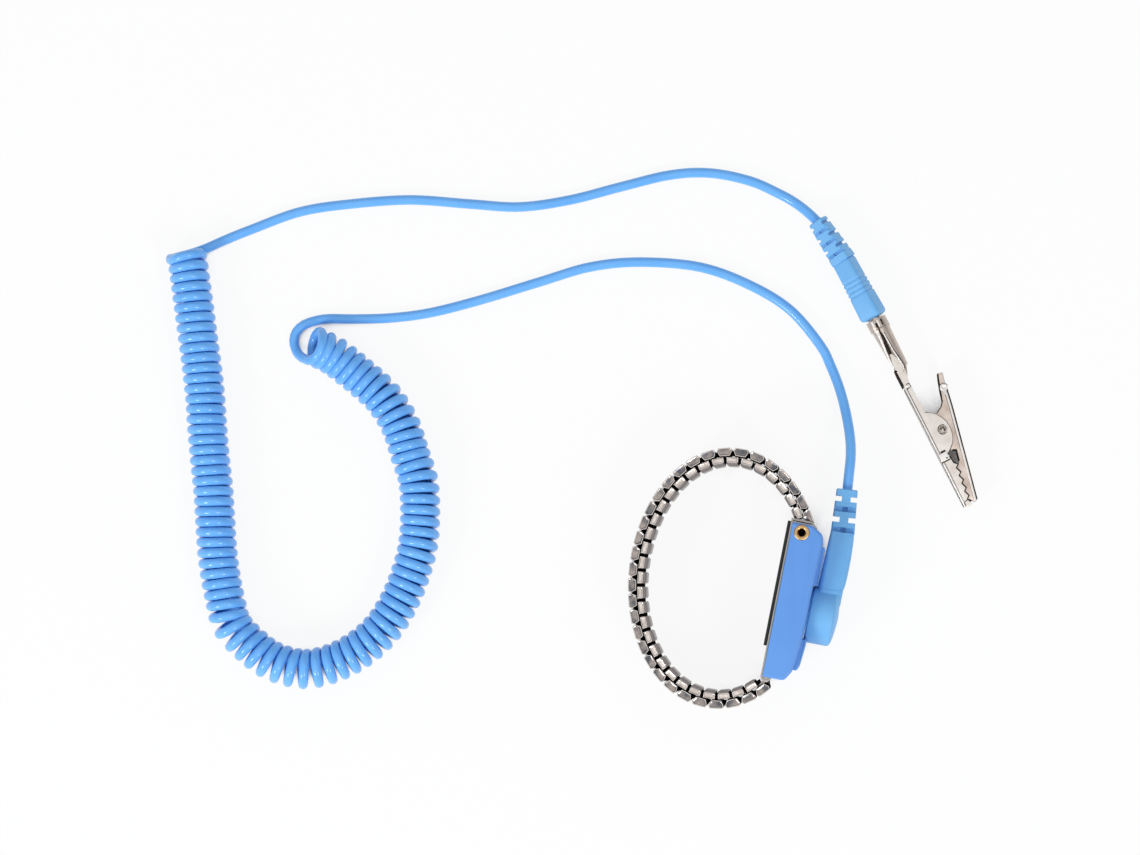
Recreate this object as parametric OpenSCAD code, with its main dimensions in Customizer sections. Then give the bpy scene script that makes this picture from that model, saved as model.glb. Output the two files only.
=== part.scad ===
// Antistatic wrist strap: an expansion band with a hinged snap housing, a coiled
// earth cord, and a banana plug with an alligator clip pushed over it.
// Millimetres, +Z up. The strap lies on a table and its band stands on edge.

/* [Expansion band] */
// Links round the wrist
links = 32; // [30:1:34]
// Width of the band
band_w = 16; // [12:0.5:17]
// Spacing of the links along the band
link_pitch = 3.61; // [3.5:0.01:3.8]
// Depth of each of the two rows of sleeves
row_h = 1.9; // [1.7:0.05:2.2]
// Gap between the two rows
row_gap = 0.2; // [0.1:0.05:0.3]
// Thickness of the sleeve metal
sheet = 0.25; // [0.2:0.05:0.3]
// Thickness of a staple leg
leg_t = 0.3; // [0.24:0.02:0.36]

/* [Housing] */
// Width across the cover, from side face to side face
cover_w = 19; // [18.4:0.2:24]
// Thickness of the cover's side walls
side_wall = 1.2; // [0.8:0.1:1.3]
// Thickness of the cover's outer wall
outer_wall = 1; // [0.8:0.1:1.4]
// Thickness of the steel back plate
plate_t = 0.45; // [0.3:0.05:0.6]
// Thickness of the liner on the skin side
liner_t = 0.75; // [0.5:0.05:1]
// Bore of the tubular eyelet that the cover hinges on
eyelet_bore = 1.7; // [1.2:0.1:1.8]
// Outer diameter of the eyelet's barrel
barrel_d = 2.5; // [2.4:0.1:3]
// Diameter of the cross pin that holds the band's end hook
end_pin_d = 1.2; // [1:0.1:1.4]

/* [Snap] */
// Diameter of the snap stud's head
stud_d = 4; // [3.6:0.1:4]
// Diameter of the round cap on the snap plug
cap_d = 13.7; // [13:0.1:14]
// Height of the round cap
cap_h = 6.6; // [6.2:0.1:7]

/* [Earth cord] */
// Diameter of the cord
cord_d = 2.4; // [2:0.1:2.6]
// Outer diameter of its coil
coil_d = 9.8; // [9:0.1:12]

/* [Banana plug] */
// Length of the handle
handle_len = 15.7; // [14:0.1:20]
// Width of the handle at the pin end, across its flats
handle_d = 5.5; // [5.2:0.1:6]
// Length of the boot behind the handle
banana_boot_len = 11.2; // [10.8:0.1:13]
// Widest diameter of the lantern spring
lantern_d = 3.9; // [3.6:0.05:3.9]

/* [Alligator clip] */
// Width of the fixed jaw at the rivet
jaw_w = 6.4; // [6:0.1:6.6]
// Width of both jaws at the tip
tip_w = 3.5; // [3:0.1:4]
// Thickness of the clip's sheet metal
clip_sheet = 0.4; // [0.3:0.02:0.5]
// Diameter of the clip's rivet
rivet_d = 2; // [1.6:0.1:2.2]
// Spacing of the teeth
tooth_pitch = 1.95; // [1.6:0.05:2.4]

/* [Fits] */
// Radial clearance of the plate's ears on the eyelet
hinge_clearance = 0.05; // [0.02:0.01:0.1]
// Clearance of a sliding staple leg on each side
slide_clearance = 0.05; // [0.03:0.01:0.06]
// Radial clearance of the end hook on its pin
hook_clearance = 0.08; // [0.04:0.01:0.1]
// Radial clearance of the stud's head in the ring spring
ring_clearance = 0.05; // [0.02:0.01:0.1]
// Radial clearance of the moving jaw on the rivet
jaw_clearance = 0.05; // [0.02:0.01:0.1]

/* [Hidden] */
link_names = [for (i = [1:links]) str("band_link_", i < 10 ? "0" : "", i)];

$fn = 64;
eps = 0.01;
sky = "#6bb1f5";
cornflower = "#6a9fe8";
steel = "#c9c6c4";
nickel = "#d8d2c8";
brass = "#c79a4b";
black = "#1c1c1e";

// Places in the resting frame
hinge_at = [17.8, 10.4];
housing_lean = 11.3;
mid_z = cover_w / 2;

// Housing frame: origin on the hinge axis, +X away from the wrist, +Y to the hinge end
cover_face = 5.3;
cover_back = -2.45;
cover_top = 2.05;
cover_bottom = -34.7;
cover_edge = 1.2;
cover_outline = [
    [-4, cover_top], [2, cover_top], [4.7, 0.5], [cover_face, -0.6], [cover_face, -20],
    [4.9, -26], [4.2, -31.5], [3.6, -33.8], [2.3, cover_bottom], [-4, cover_bottom]
];
cavity_face = cover_face - outer_wall;
cavity_top = -0.4;
stud_y = -18.2;
washer_r = 3.2;
cavity_knee = stud_y - washer_r - 0.4;
cavity_outline = [
    [-5, 6], [7, 6], [7, cavity_top], [cavity_face, cavity_top], [cavity_face, cavity_knee],
    [3.85, -26.2], [3.2, -31.6], [2.6, -33.7], [1.2, -33.7], [1.2, -36], [-5, -36]
];
pad_h = 0.8;
pad_face = cover_face + pad_h;
pad_side = 2.2;
pad_recess_r = cap_d / 2 + 0.45;
upper_pad = [[cover_face - 0.5, -2.4], [pad_face - 0.15, -2.4], [pad_face, -2.6], [pad_face, -13.5],
    [cover_face - 0.5, -13.5]];
lower_pad = [[cover_face - 0.5, -23], [pad_face, -23], [pad_face, -26], [5.75, -29], [5.1, -31.7],
    [4.9, -31.9], [4, -31.9]];

eyelet_flange_r = 1.85;
eyelet_flange_t = 0.3;
eyelet_proud = 0.15;
eyelet_sink = 0.2;

plate_side = side_wall + 0.15;
plate_x = cover_back - 0.05;
plate_top = 2.95;
plate_bottom = -30;
tab_tip = 2;
ear_r = 2.2;
ear_y = -3;
lug_r = 1.25;
liner_top = 2.2;
liner_bottom = -27.5;
end_pin_at = [-1.7, -34.6];

stud_shank_r = 1.6;
stud_flange_t = 0.4;
washer_t = 0.4;
stud_back = cavity_face - washer_t - stud_flange_t;
stud_top = cover_face + 3.2;
contact_t = 0.3;

// Snap plug
cap_base = 5.6;
cap_r = cap_d / 2;
can_base = cap_base + 0.15;
can_r = 4.25;
can_h = 3.6;
can_wall = 0.35;
ring_wire_r = 0.3;
ring_r = stud_d / 2 + ring_clearance + ring_wire_r;
ring_x = can_base + can_wall + ring_wire_r + 0.02;
seam_y = stud_y + cap_r + 0.05;
neck_back = pad_face + 0.15;
neck_face = 12.2;
neck_w = 8.4;
relief_y = 1.9;
relief_len = 10.3;
relief_tilt = 5;
relief_mid_x = 9.33;
relief_w = [5.6, 5];
core_x = can_base + can_h + 0.2;
core_bore_r = 1.15;
resistor_len = 6.3;
resistor_y = -9.5;
lead_r = 0.3;
lead_len = 1.1;
crimp_len = 3;

// The band as a chain of links, in the housing frame
band_side = (cover_w - band_w) / 2;
band_start = [-0.17, 3.32];
start_heading = 120.2;
band_wrap = 294.5;
ovality = 0.47;
tight_heading = 181;
hook_reach = 2.5;
hook_rise = 0.95;
outer_near = 1.5;
outer_far = 1.7;
inner_half = 1.4;
leg_w = 0.5;
leg_len = 4;
crown_t = 0.3;
crown_room = 0.65;
notch_depth = sheet + leg_t + 0.15;
fixed_leg_x = 0.95;
free_leg_x = 0.2;
inner_leg_x = 0.85;
leaf_t = 0.15;
sink = 0.02;
mitre_y = plate_top + 0.05;
crown_z = band_side + sheet + 0.1;

// Clip frame: origin behind the barrel, +X along it to the tip, +Y to the moving jaw
clip_at = [35.3, 61.2, jaw_w / 2 + 0.3];
clip_heading = -62;
rivet_at = [30.6, 1.5];
rivet_head = 0.3;
barrel_rim_len = 2.7;
barrel_len = 12.8;
barrel_r = [2.25, 1.8];
barrel_wall = 0.25;
pin_r = 1.2;
pin_len = 12;
handle_gap = 0.54;
handle_back = -handle_gap - handle_len;
handle_roll = 23;
boot_bend = 5;
tooth_h = 0.65;
tooth_start = [39.5, 0.75];
tooth_slope = -8.7;
tooth_rake = 0.36;
tooth_count = floor(8.6 / tooth_pitch - tooth_rake) + 1;
tooth_gap = 0.14;
barrel_slot = [
    [-1, -0.15], [3, -0.65], [7, -1.2], [10, -1.65], [12.3, -1.7], [13.6, -1.2], [14, -0.4],
    [13.6, 0.35], [12.3, 0.85], [10, 0.75], [7, 0.2], [3, -0.3], [-1, 0.15]
];
jaw_ear_at = [30.7, -3];
jaw_ear_r = 6.25;
jaw_ear = [for (a = [24:13:154]) jaw_ear_at + turned([jaw_ear_r, 0], a)];
fixed_back = [[13.5, -1.95], [17.8, -1.95], [49.4, -2.72]];
fixed_strip = concat(fixed_back, [[49.5, -2.3], [17.8, -1.55], [13.5, -1.55]]);
fixed_outline = concat(
    fixed_back, [[49.45, -0.6], [48.5, -0.5]], backwards(tooth_line(0)),
    [[38.7, 0.1], [36.5, -0.05]], jaw_ear, [[17.4, -0.1], [13.5, 0.5]]
);
fixed_widths = [[13.5, 1.75], [18, 2.1], [25.5, jaw_w / 2], [34.5, jaw_w / 2], [49.5, tip_w / 2]];
moving_back = [[49, 0.86], [26.6, 6.15], [21.1, 7.3], [18.6, 7.95]];
moving_strip = [
    [49.7, 0.8], [26.6, 6.25], [21.1, 7.4], [18.3, 8.15], [18.3, 6.95], [21.6, 6.75],
    [26.6, 5.7], [49.6, 0.27]
];
moving_outline = concat(
    [[18.3, 6.8], [19.8, 6.2], [22.5, 5.3], [24.7, 4.7], [25.7, 3.85], [26.7, 2], [27.7, 0.1]],
    [[29.2, -1], [30.6, -1.3], [32.4, -0.9], [34.4, 0], [35.9, 1.15], [36.3, 2.2], [39, 1.45]],
    tooth_line(tooth_gap), [[48.5, -0.32], [49.3, 0.2]], moving_back
);
moving_widths = [
    [18, 1.6], [22, 1.9], [25, jaw_w / 2 - clip_sheet - 0.1],
    [33.5, jaw_w / 2 - clip_sheet - 0.1], [38.5, 2.35], [49.6, tip_w / 2]
];

// Cord routes, lying on the table except where they rise to a plug
tail_a_route = [
    [28.45, 20.4, 9.5], [28.9, 24.5, 9.3], [29.3, 28.5, 8.2], [29.2, 32.7, 6.6],
    [28.3, 38.6, 4.4], [26.8, 44.6, 2.6], [24.7, 50.2, 1.5], [22.1, 55.4, 1.2],
    [15, 63.8, 1.2], [5.4, 69.8, 1.2], [-6.5, 74.2, 1.2], [-20.9, 75.5, 1.2],
    [-32.9, 74.4, 1.2], [-45, 70.9, 1.2], [-59.4, 66.6, 1.2], [-71.5, 63.6, 1.2],
    [-81.2, 62.4, 1.2], [-93.4, 61.7, 1.2], [-99.4, 61.5, 1.2], [-103, 59.9, 1.2],
    [-104.3, 56.6, 1.2], [-103.2, 53.6, 1.3], [-101.7, 52.4, 2.2], [-100.2, 51.9, 4],
    [-99, 51.6, 5.6]
];
coil_route = [
    [-98.4, 55.3], [-95.6, 54.3], [-93.5, 52.9], [-91.5, 50.9],
    [-85.5, 46], [-81.9, 42.4], [-78.2, 36.4], [-75.8, 29.2],
    [-73.9, 23.2], [-73.4, 16.1], [-73.9, 7.7], [-75.8, 0.5], [-78.2, -5.4], [-81.8, -11.4],
    [-86.6, -16.2], [-92.6, -19.8], [-98.6, -21.7], [-103.4, -21.7], [-109.4, -19.8],
    [-114.3, -16.2], [-118.7, -11.4], [-120.4, -5.4], [-121.6, 0.5], [-122.4, 6.5],
    [-122.9, 13.7], [-123.4, 20.9], [-124.2, 28.1], [-124.9, 35.4], [-125.4, 42.6],
    [-126.2, 49.8], [-127.2, 57], [-128.2, 64.3], [-129.2, 71.5], [-130, 77.6]
];
tail_b_route = [
    [-133.6, 76.9, 5.4], [-134.5, 77.6, 3.6], [-134, 78.3, 2.1], [-132.2, 78.8, 1.3],
    [-130, 79.2, 1.2], [-125.6, 80.3, 1.2], [-121.4, 81.8, 1.2], [-115.3, 83.9, 1.2],
    [-103.2, 88.2, 1.2], [-91, 90, 1.2],
    [-76.4, 90.9, 1.2], [-61.9, 89.8, 1.2], [-49.8, 89, 1.2], [-37.7, 90.6, 1.2],
    [-25.7, 93.6, 1.2], [-13.7, 96.4, 1.2], [-4.1, 96.8, 1.2], [5.5, 94.8, 1.2],
    [12.6, 91.6, 1.2], [16.2, 89.5, 1.5], [19.2, 87.1, 2.4], [21.8, 84.5, 3.4]
];

// ---- functions ----

function turned(p, a) = [p.x * cos(a) - p.y * sin(a), p.x * sin(a) + p.y * cos(a)];
function unit(v) = v / norm(v);

// Each link turns a little more where the oval of the wrist is tight
function turn_after(h) = band_wrap / (links - 1) * (1 + ovality * cos(2 * (h - tight_heading)));
function heading(i) = i == 0 ? start_heading : let (h = heading(i - 1)) h + turn_after(h);
function mid_heading(i) = heading(i) + turn_after(heading(i)) / 2;
function raw_point(i) =
    i == 0 ? band_start : raw_point(i - 1) + turned([link_pitch, 0], mid_heading(i - 1));
last_heading = heading(links - 1);
last_point = end_pin_at - turned([hook_reach, hook_rise], last_heading);
closing_error = last_point - raw_point(links - 1);
function link_point(i) = raw_point(i) + closing_error * i / (links - 1);

// A point of the outer or the inner sleeve's frame, as a point of the housing frame
function from_outer(i, p) = link_point(i) + turned(p, heading(i));
function from_inner(i, p) = (link_point(i) + link_point(i + 1)) / 2 + turned(p, mid_heading(i));

// Section of a sleeve: flat on the side that faces the other row, with a low crown
function sleeve_outline(near, far, inset) = [
    [-near + inset, inset], [near - inset, inset], [far - inset, 0.7 * row_h],
    [0.68 * far - inset / 2, 0.95 * row_h - inset], [0, row_h - inset],
    [-0.68 * far + inset / 2, 0.95 * row_h - inset], [-far + inset, 0.7 * row_h]
];

// Corners of a staple leg's section on the side away from the gap between the rows
function leg_edge(x, depth) = [[x - leg_w / 2, depth], [x + leg_w / 2, depth]];

// Raked teeth along a sloping line, shifted sideways by the gap: a root, then a point, in turn
function tooth_line(gap) = [
    for (k = [0:tooth_count - 1], p = [[0, 0], [tooth_rake * tooth_pitch, -tooth_h]])
        tooth_start + turned([k * tooth_pitch + p.x, p.y + gap], tooth_slope)
];
function backwards(list) = [for (k = [len(list) - 1:-1:0]) list[k]];

// ---- shared shapes ----

module tube(route, r, sides) {
    last = len(route) - 1;
    points = [
        for (i = [0:last])
            let (along = unit(route[min(i + 1, last)] - route[max(i - 1, 0)]))
            let (side = unit(cross([0, 0, 1], along)))
            let (up = cross(along, side))
            for (k = [0:sides - 1]) route[i] + r * (cos(k * 360 / sides) * side + sin(k * 360 / sides) * up)
    ];
    walls = [
        for (i = [0:last - 1], k = [0:sides - 1])
            let (next = (k + 1) % sides)
            [i * sides + k, (i + 1) * sides + k, (i + 1) * sides + next, i * sides + next]
    ];
    first_cap = [for (k = [0:sides - 1]) k];
    last_cap = [for (k = [sides - 1:-1:0]) last * sides + k];
    polyhedron(points, concat([first_cap], walls, [last_cap]));
}

module slab(z0, z1) translate([0, 0, z0]) linear_extrude(z1 - z0) children();

module in_housing() translate([hinge_at.x, hinge_at.y, 0]) rotate(-housing_lean) children();

module in_clip() translate(clip_at) rotate(clip_heading) children();

module at_both_edges() {
    children();
    translate([0, 0, 2 * mid_z]) mirror([0, 0, 1]) children();
}

// +Z runs out along the snap's axis, from the given distance off the hinge plane
module on_snap_axis(x) translate([x, stud_y, mid_z]) rotate([0, 90, 0]) children();

// +Z runs along the clip's barrel
module on_barrel_axis(x) translate([x, 0, 0]) rotate([0, 90, 0]) children();

// A rounded rectangle across the Y axis: the end of a hulled boot, or with a length a block
module end_section(y, x0, x1, z_half, round, length = eps) {
    translate([0, y, 0]) rotate([90, 0, 0]) linear_extrude(length)
        offset(r = round, $fn = 32) offset(delta = -round)
        translate([x0, -z_half]) square([x1 - x0, 2 * z_half]);
}

// A strain relief along +Y: a tapered block cut from two sides in turn down to its core
module strain_relief(length, widths, collar, cuts, pitch, cut_w, core_w) {
    difference() {
        hull() {
            end_section(eps, -widths[0] / 2, widths[0] / 2, widths[0] / 2, 0.6);
            end_section(length, -widths[1] / 2, widths[1] / 2, widths[1] / 2, 0.6);
        }
        for (k = [0:cuts - 1], side = [-1, 1]) {
            y = length - collar - cut_w - k * pitch;
            if (k % 2 == 0)
                translate([side * (core_w / 2 + 5) - 5, y, -5]) cube([10, cut_w, 10]);
            else
                translate([-5, y, side * (core_w / 2 + 5) - 5]) cube([10, cut_w, 10]);
        }
    }
}

// ---- housing ----

module housing_cover() {
    color(cornflower) in_housing() difference() {
        union() {
            intersection() {
                hull() for (a = [0:30:90]) {
                    edge_z = cover_edge * (1 - cos(a));
                    slab(edge_z, cover_w - edge_z)
                        offset(delta = -cover_edge * (1 - sin(a))) polygon(cover_outline);
                }
                translate([cover_back, -40, 0]) cube([20, 50, cover_w]);
            }
            difference() {
                slab(pad_side, cover_w - pad_side) {
                    polygon(upper_pad);
                    polygon(lower_pad);
                }
                on_snap_axis(cover_face) cylinder(h = 5, r = pad_recess_r);
            }
        }
        slab(side_wall, cover_w - side_wall) polygon(cavity_outline);
        on_snap_axis(0) cylinder(h = 10, r = stud_shank_r);
        translate([0, 0, -1]) cylinder(h = cover_w + 2, d = barrel_d);
        translate([0, 0, -1]) cylinder(h = 1 + eyelet_flange_t, r = eyelet_flange_r);
        translate([0, 0, cover_w - eyelet_sink]) cylinder(h = 1, r = eyelet_flange_r);
    }
}

module hinge_eyelet() {
    bore_r = eyelet_bore / 2;
    tube_r = barrel_d / 2;
    seat = cover_w - eyelet_sink;
    top = cover_w + eyelet_proud;
    color(brass) in_housing() rotate_extrude() polygon([
        [bore_r, 0], [eyelet_flange_r, 0], [eyelet_flange_r, eyelet_flange_t],
        [tube_r, eyelet_flange_t], [tube_r, seat], [eyelet_flange_r, seat],
        [eyelet_flange_r, seat + 0.15], [eyelet_flange_r - 0.25, top], [bore_r + 0.2, top],
        [bore_r, top - 0.2]
    ]);
}

module plate_cheek(centre, r, y0, y1) {
    slab(plate_side, plate_side + plate_t) hull() {
        translate(centre) circle(r);
        translate([plate_x - plate_t, y0]) square([plate_t, y1 - y0]);
    }
}

module back_plate() {
    width = cover_w - 2 * plate_side;
    color(steel) in_housing() difference() {
        union() {
            translate([plate_x - plate_t, plate_bottom, plate_side])
                cube([plate_t, plate_top - plate_bottom, width]);
            slab(plate_side, plate_side + width) polygon([
                [plate_x - plate_t, plate_top], [plate_x - plate_t, plate_top - plate_t],
                [tab_tip, plate_top - plate_t], [tab_tip + 0.95, plate_top - 1.55],
                [tab_tip + 1.25, plate_top - 1.2], [tab_tip + 0.1, plate_top]
            ]);
            at_both_edges() plate_cheek([0, 0], ear_r, ear_y, ear_r);
            at_both_edges() plate_cheek(end_pin_at, lug_r, plate_bottom, plate_bottom + 2);
            at_both_edges() plate_staple();
        }
        translate([0, 0, -1]) cylinder(h = cover_w + 2, r = barrel_d / 2 + hinge_clearance);
        translate([end_pin_at.x, end_pin_at.y, -1]) cylinder(h = cover_w + 2, d = end_pin_d);
    }
}

// The staple that ties the first link to the plate's tab
module plate_staple() {
    near = [for (p = leg_edge(free_leg_x, -row_gap / 2 - sheet)) from_outer(0, p)];
    far = [for (p = leg_edge(free_leg_x, -row_gap / 2 - sheet - leg_t + sink)) from_outer(0, p)];
    foot_y = plate_top - plate_t / 2;
    slab(crown_z, max(crown_z + crown_t, plate_side + 0.1))
        polygon([near[1], far[1], far[0], [far[0].x + 0.6, foot_y], [near[0].x, foot_y]]);
    free_leg(0);
}

module plate_liner() {
    color(black) in_housing()
        translate([plate_x - plate_t - liner_t, liner_bottom, plate_side])
        cube([liner_t, liner_top - liner_bottom, cover_w - 2 * plate_side]);
}

module end_pin() {
    color(steel) in_housing() translate([end_pin_at.x, end_pin_at.y, plate_side])
        cylinder(h = cover_w - 2 * plate_side, d = end_pin_d);
}

module snap_stud() {
    color(nickel) in_housing() on_snap_axis(0) rotate_extrude() polygon([
        [0, stud_back], [2.4, stud_back], [2.4, stud_back + stud_flange_t],
        [stud_shank_r, stud_back + stud_flange_t], [stud_shank_r, cover_face], [2.3, cover_face],
        [2.3, cover_face + 0.25], [1.75, cover_face + 0.4], [1.75, cover_face + 1.1],
        [stud_d / 2, stud_top - 1.3], [stud_d / 2, stud_top - 0.8], [1.7, stud_top - 0.25],
        [1.2, stud_top], [0, stud_top]
    ]);
}

module stud_washer() {
    color(steel) in_housing() on_snap_axis(cavity_face - washer_t) difference() {
        cylinder(h = washer_t, r = washer_r);
        translate([0, 0, -1]) cylinder(h = 2, r = stud_shank_r);
    }
}

// A bent leaf from the stud's flange that rubs on the plate
module contact_spring() {
    tip_x = plate_x + 0.1;
    under = stud_back - contact_t;
    color(brass) in_housing() slab(mid_z - 2, mid_z + 2) polygon([
        [stud_back, stud_y + 2], [stud_back, stud_y - 2.5],
        [tip_x + contact_t, -27], [tip_x + contact_t, -28.5], [tip_x, -28.5], [tip_x, -26.9],
        [under, stud_y - 2.5], [under, stud_y + 2]
    ]);
}

// ---- band ----

module in_link(i) {
    at = link_point(i);
    in_housing() translate([at.x, at.y, 0]) rotate(heading(i)) children();
}

module sleeve(near, far) {
    difference() {
        slab(band_side, band_side + band_w) polygon(sleeve_outline(near, far, 0));
        slab(band_side + sheet, band_side + band_w - sheet) polygon(sleeve_outline(near, far, sheet));
        at_both_edges() translate([-far - 1, -1, band_side + sheet])
            cube([2 * far + 2, notch_depth + 1, crown_room]);
    }
}

// A bowed leaf: its ends press on the staple legs and its middle on the crown of the sleeve
module leaf(half) {
    low = sheet + leg_t - sink;
    high = row_h - sheet + sink;
    z0 = band_side + sheet + crown_room + 0.2;
    edge = [
        [low, z0], [low, z0 + 3], [high - leaf_t, z0 + 5.5],
        [high - leaf_t, 2 * mid_z - z0 - 5.5], [low, 2 * mid_z - z0 - 3], [low, 2 * mid_z - z0]
    ];
    back = [for (p = backwards(edge)) p + [leaf_t, 0]];
    translate([-half, 0, 0]) rotate([90, 0, 90]) linear_extrude(2 * half) polygon(concat(edge, back));
}

// A staple's leg: a fixed one is seated in the wall and under the leaf, a sliding one is clear
module leg(x, gap) {
    width = leg_w - 2 * sink;
    near = sheet + (gap > 0 ? gap : -sink);
    translate([x - width / 2, near, crown_z + sink]) cube([width, sheet + leg_t - gap - near, leg_len]);
}

module in_outer_row() translate([0, -row_gap / 2, 0]) mirror([0, 1, 0]) children();

// The leg that slides in outer sleeve i, in the housing frame
module free_leg(i) {
    at = link_point(i);
    translate([at.x, at.y, 0]) rotate(heading(i)) in_outer_row() leg(free_leg_x, slide_clearance);
}

// A staple's crown from the outer sleeve i_outer to the inner sleeve i_inner
module crown(i_outer, x_outer, gap, i_inner, x_inner) {
    depth = row_gap / 2 + sheet + leg_t + sink;
    outer = [for (p = leg_edge(x_outer, -depth + gap)) from_outer(i_outer, p)];
    inner = [for (p = leg_edge(x_inner, depth)) from_inner(i_inner, p)];
    slab(crown_z, crown_z + crown_t) polygon([outer[0], outer[1], inner[1], inner[0]]);
}

module inner_sleeve(i) {
    at = from_inner(i, [0, 0]);
    in_housing() translate([at.x, at.y, 0]) rotate(mid_heading(i)) translate([0, row_gap / 2, 0]) {
        sleeve(inner_half, inner_half);
        leaf(inner_half - 0.4);
        at_both_edges() for (side = [-1, 1]) leg(side * inner_leg_x, 0);
    }
}

module outer_sleeve(i) {
    in_link(i) in_outer_row() {
        sleeve(outer_near, outer_far);
        leaf(outer_near - 0.4);
    }
}

// Link i carries its own two sleeves and the staples that reach to the next outer sleeve
module band_link(i) {
    color(steel) difference() {
        union() {
            outer_sleeve(i);
            if (i < links - 1) {
                inner_sleeve(i);
                in_link(i) in_outer_row() at_both_edges() leg(fixed_leg_x, 0);
                in_housing() at_both_edges() {
                    crown(i, fixed_leg_x, 0, i, -inner_leg_x);
                    crown(i + 1, free_leg_x, slide_clearance, i, inner_leg_x);
                    free_leg(i + 1);
                }
            }
        }
        if (i == 0)
            in_housing() translate([-10, mitre_y - 10, 0]) cube([20, 10, cover_w]);
    }
}

// The last link's hook, curled round the end pin
module end_hook() {
    hook_t = 0.55;
    inner_r = end_pin_d / 2 + hook_clearance;
    side = max(band_side + sheet + crown_room, plate_side + plate_t) + 0.1;
    color(steel) in_link(links - 1) difference() {
        union() {
            translate([hook_reach, hook_rise, side]) cylinder(h = cover_w - 2 * side, r = inner_r + hook_t);
            translate([-0.15, -row_gap / 2, side]) cube([2, hook_t, cover_w - 2 * side]);
        }
        translate([hook_reach, hook_rise, 0]) cylinder(h = cover_w, r = inner_r);
        slab(0, cover_w) translate([hook_reach, hook_rise])
            polygon([[0, 0], turned([3, 0], 165), turned([3, 0], 115)]);
    }
}

// ---- snap plug ----

module plug_cap() {
    color(sky) in_housing() difference() {
        union() {
            on_snap_axis(cap_base) rotate_extrude() polygon([
                [0, 0], [cap_r, 0], [cap_r, 0.74 * cap_h], [cap_r - 0.25, 0.8 * cap_h],
                [cap_r - 0.95, 0.87 * cap_h], [0.66 * cap_r, 0.93 * cap_h],
                [0.36 * cap_r, 0.98 * cap_h], [0, cap_h]
            ]);
            translate([0, 0, mid_z])
                end_section(seam_y, neck_back, neck_face - 0.1, neck_w / 2, 1.6, 4);
        }
        on_snap_axis(cap_base - 1) cylinder(h = 1 + can_base - cap_base + can_h, r = can_r);
        translate([core_x - 0.2, stud_y + 1, mid_z - 1]) cube([0.4, seam_y - stud_y, 2]);
    }
}

module plug_boot() {
    color(sky) in_housing() difference() {
        union() {
            translate([0, 0, mid_z]) hull() {
                end_section(seam_y + eps, neck_back, neck_face, neck_w / 2, 1.6);
                end_section(relief_y, relief_mid_x - relief_w[0] / 2, relief_mid_x + relief_w[0] / 2,
                    relief_w[0] / 2, 0.6);
            }
            translate([relief_mid_x, relief_y - 0.1, mid_z]) rotate(relief_tilt)
                strain_relief(relief_len, relief_w, 1.7, 4, 2.45, 1.25, 2.1);
        }
        translate([core_x, seam_y - 1, mid_z]) rotate([-90, 0, 0])
            cylinder(h = resistor_y + resistor_len + lead_len + crimp_len - seam_y + 1, r = core_bore_r);
    }
}

module snap_socket() {
    mouth_r = 2.4;
    collar_r = ring_r + ring_wire_r + 0.02;
    color(nickel) in_housing() on_snap_axis(can_base) difference() {
        cylinder(h = can_h, r = can_r);
        translate([0, 0, -1]) cylinder(h = 2, r = mouth_r);
        translate([0, 0, can_wall]) cylinder(h = 1, r = collar_r);
        translate([0, 0, can_wall + 0.9]) cylinder(h = can_h - 2 * can_wall - 0.9, r = can_r - can_wall);
    }
}

module snap_spring() {
    color(brass) in_housing() on_snap_axis(ring_x) rotate_extrude(angle = 330)
        translate([ring_r, 0]) circle(ring_wire_r);
}

module along_core(y) translate([core_x, y, mid_z]) rotate([-90, 0, 0]) children();

module resistor() {
    color("#d9c79c") in_housing() {
        along_core(resistor_y) cylinder(h = resistor_len, r = core_bore_r);
        along_core(resistor_y - lead_len) cylinder(h = resistor_len + 2 * lead_len, r = lead_r);
    }
}

module socket_terminal() {
    color(nickel) in_housing() translate([core_x - 0.2, stud_y + 1, mid_z - 1])
        cube([0.4, resistor_y - lead_len - stud_y - 1, 2]);
}

module wire_crimp() {
    color(nickel) in_housing() along_core(resistor_y + resistor_len + lead_len)
        cylinder(h = crimp_len, r = core_bore_r);
}

// ---- cord ----

module cord_tail_a() color(sky) tube(tail_a_route, cord_d / 2, 8);

module cord_coil() {
    axis = [for (p = coil_route) [p.x, p.y, coil_d / 2]];
    color(sky) tube(axis, coil_d / 2, 12);
}

module cord_tail_b() color(sky) tube(tail_b_route, cord_d / 2, 8);

// ---- banana plug ----

// A softly rounded square across the plug's axis, from the given distance off the clip's barrel
module handle_slice(x, width, length) {
    on_barrel_axis(x) rotate(handle_roll) linear_extrude(length)
        offset(r = 0.34 * width, $fn = 48) square(0.32 * width, center = true);
}

module banana_handle() {
    color(sky) in_clip() difference() {
        hull() {
            handle_slice(handle_back, handle_d - 0.5, eps);
            handle_slice(-handle_gap - eps, handle_d, eps);
        }
        for (k = [0:3]) difference() {
            handle_slice(handle_back + 5.6 + 1.2 * k, handle_d + 1, 0.35);
            handle_slice(handle_back + 5.5 + 1.2 * k, handle_d - 0.9, 0.55);
        }
        on_barrel_axis(-handle_gap - 6) cylinder(h = 7, r = pin_r);
    }
}

// The boot leans a little, and its mouth is cut flush with the back of the handle
module banana_boot() {
    color(sky) in_clip() difference() {
        translate([handle_back + 0.3, 0, 0]) rotate(90 + boot_bend)
            strain_relief(banana_boot_len, [5, 4.2], 0.9, 6, 1.6, 0.75, 2.6);
        translate([handle_back, -5, -5]) cube(10);
    }
}

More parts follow.
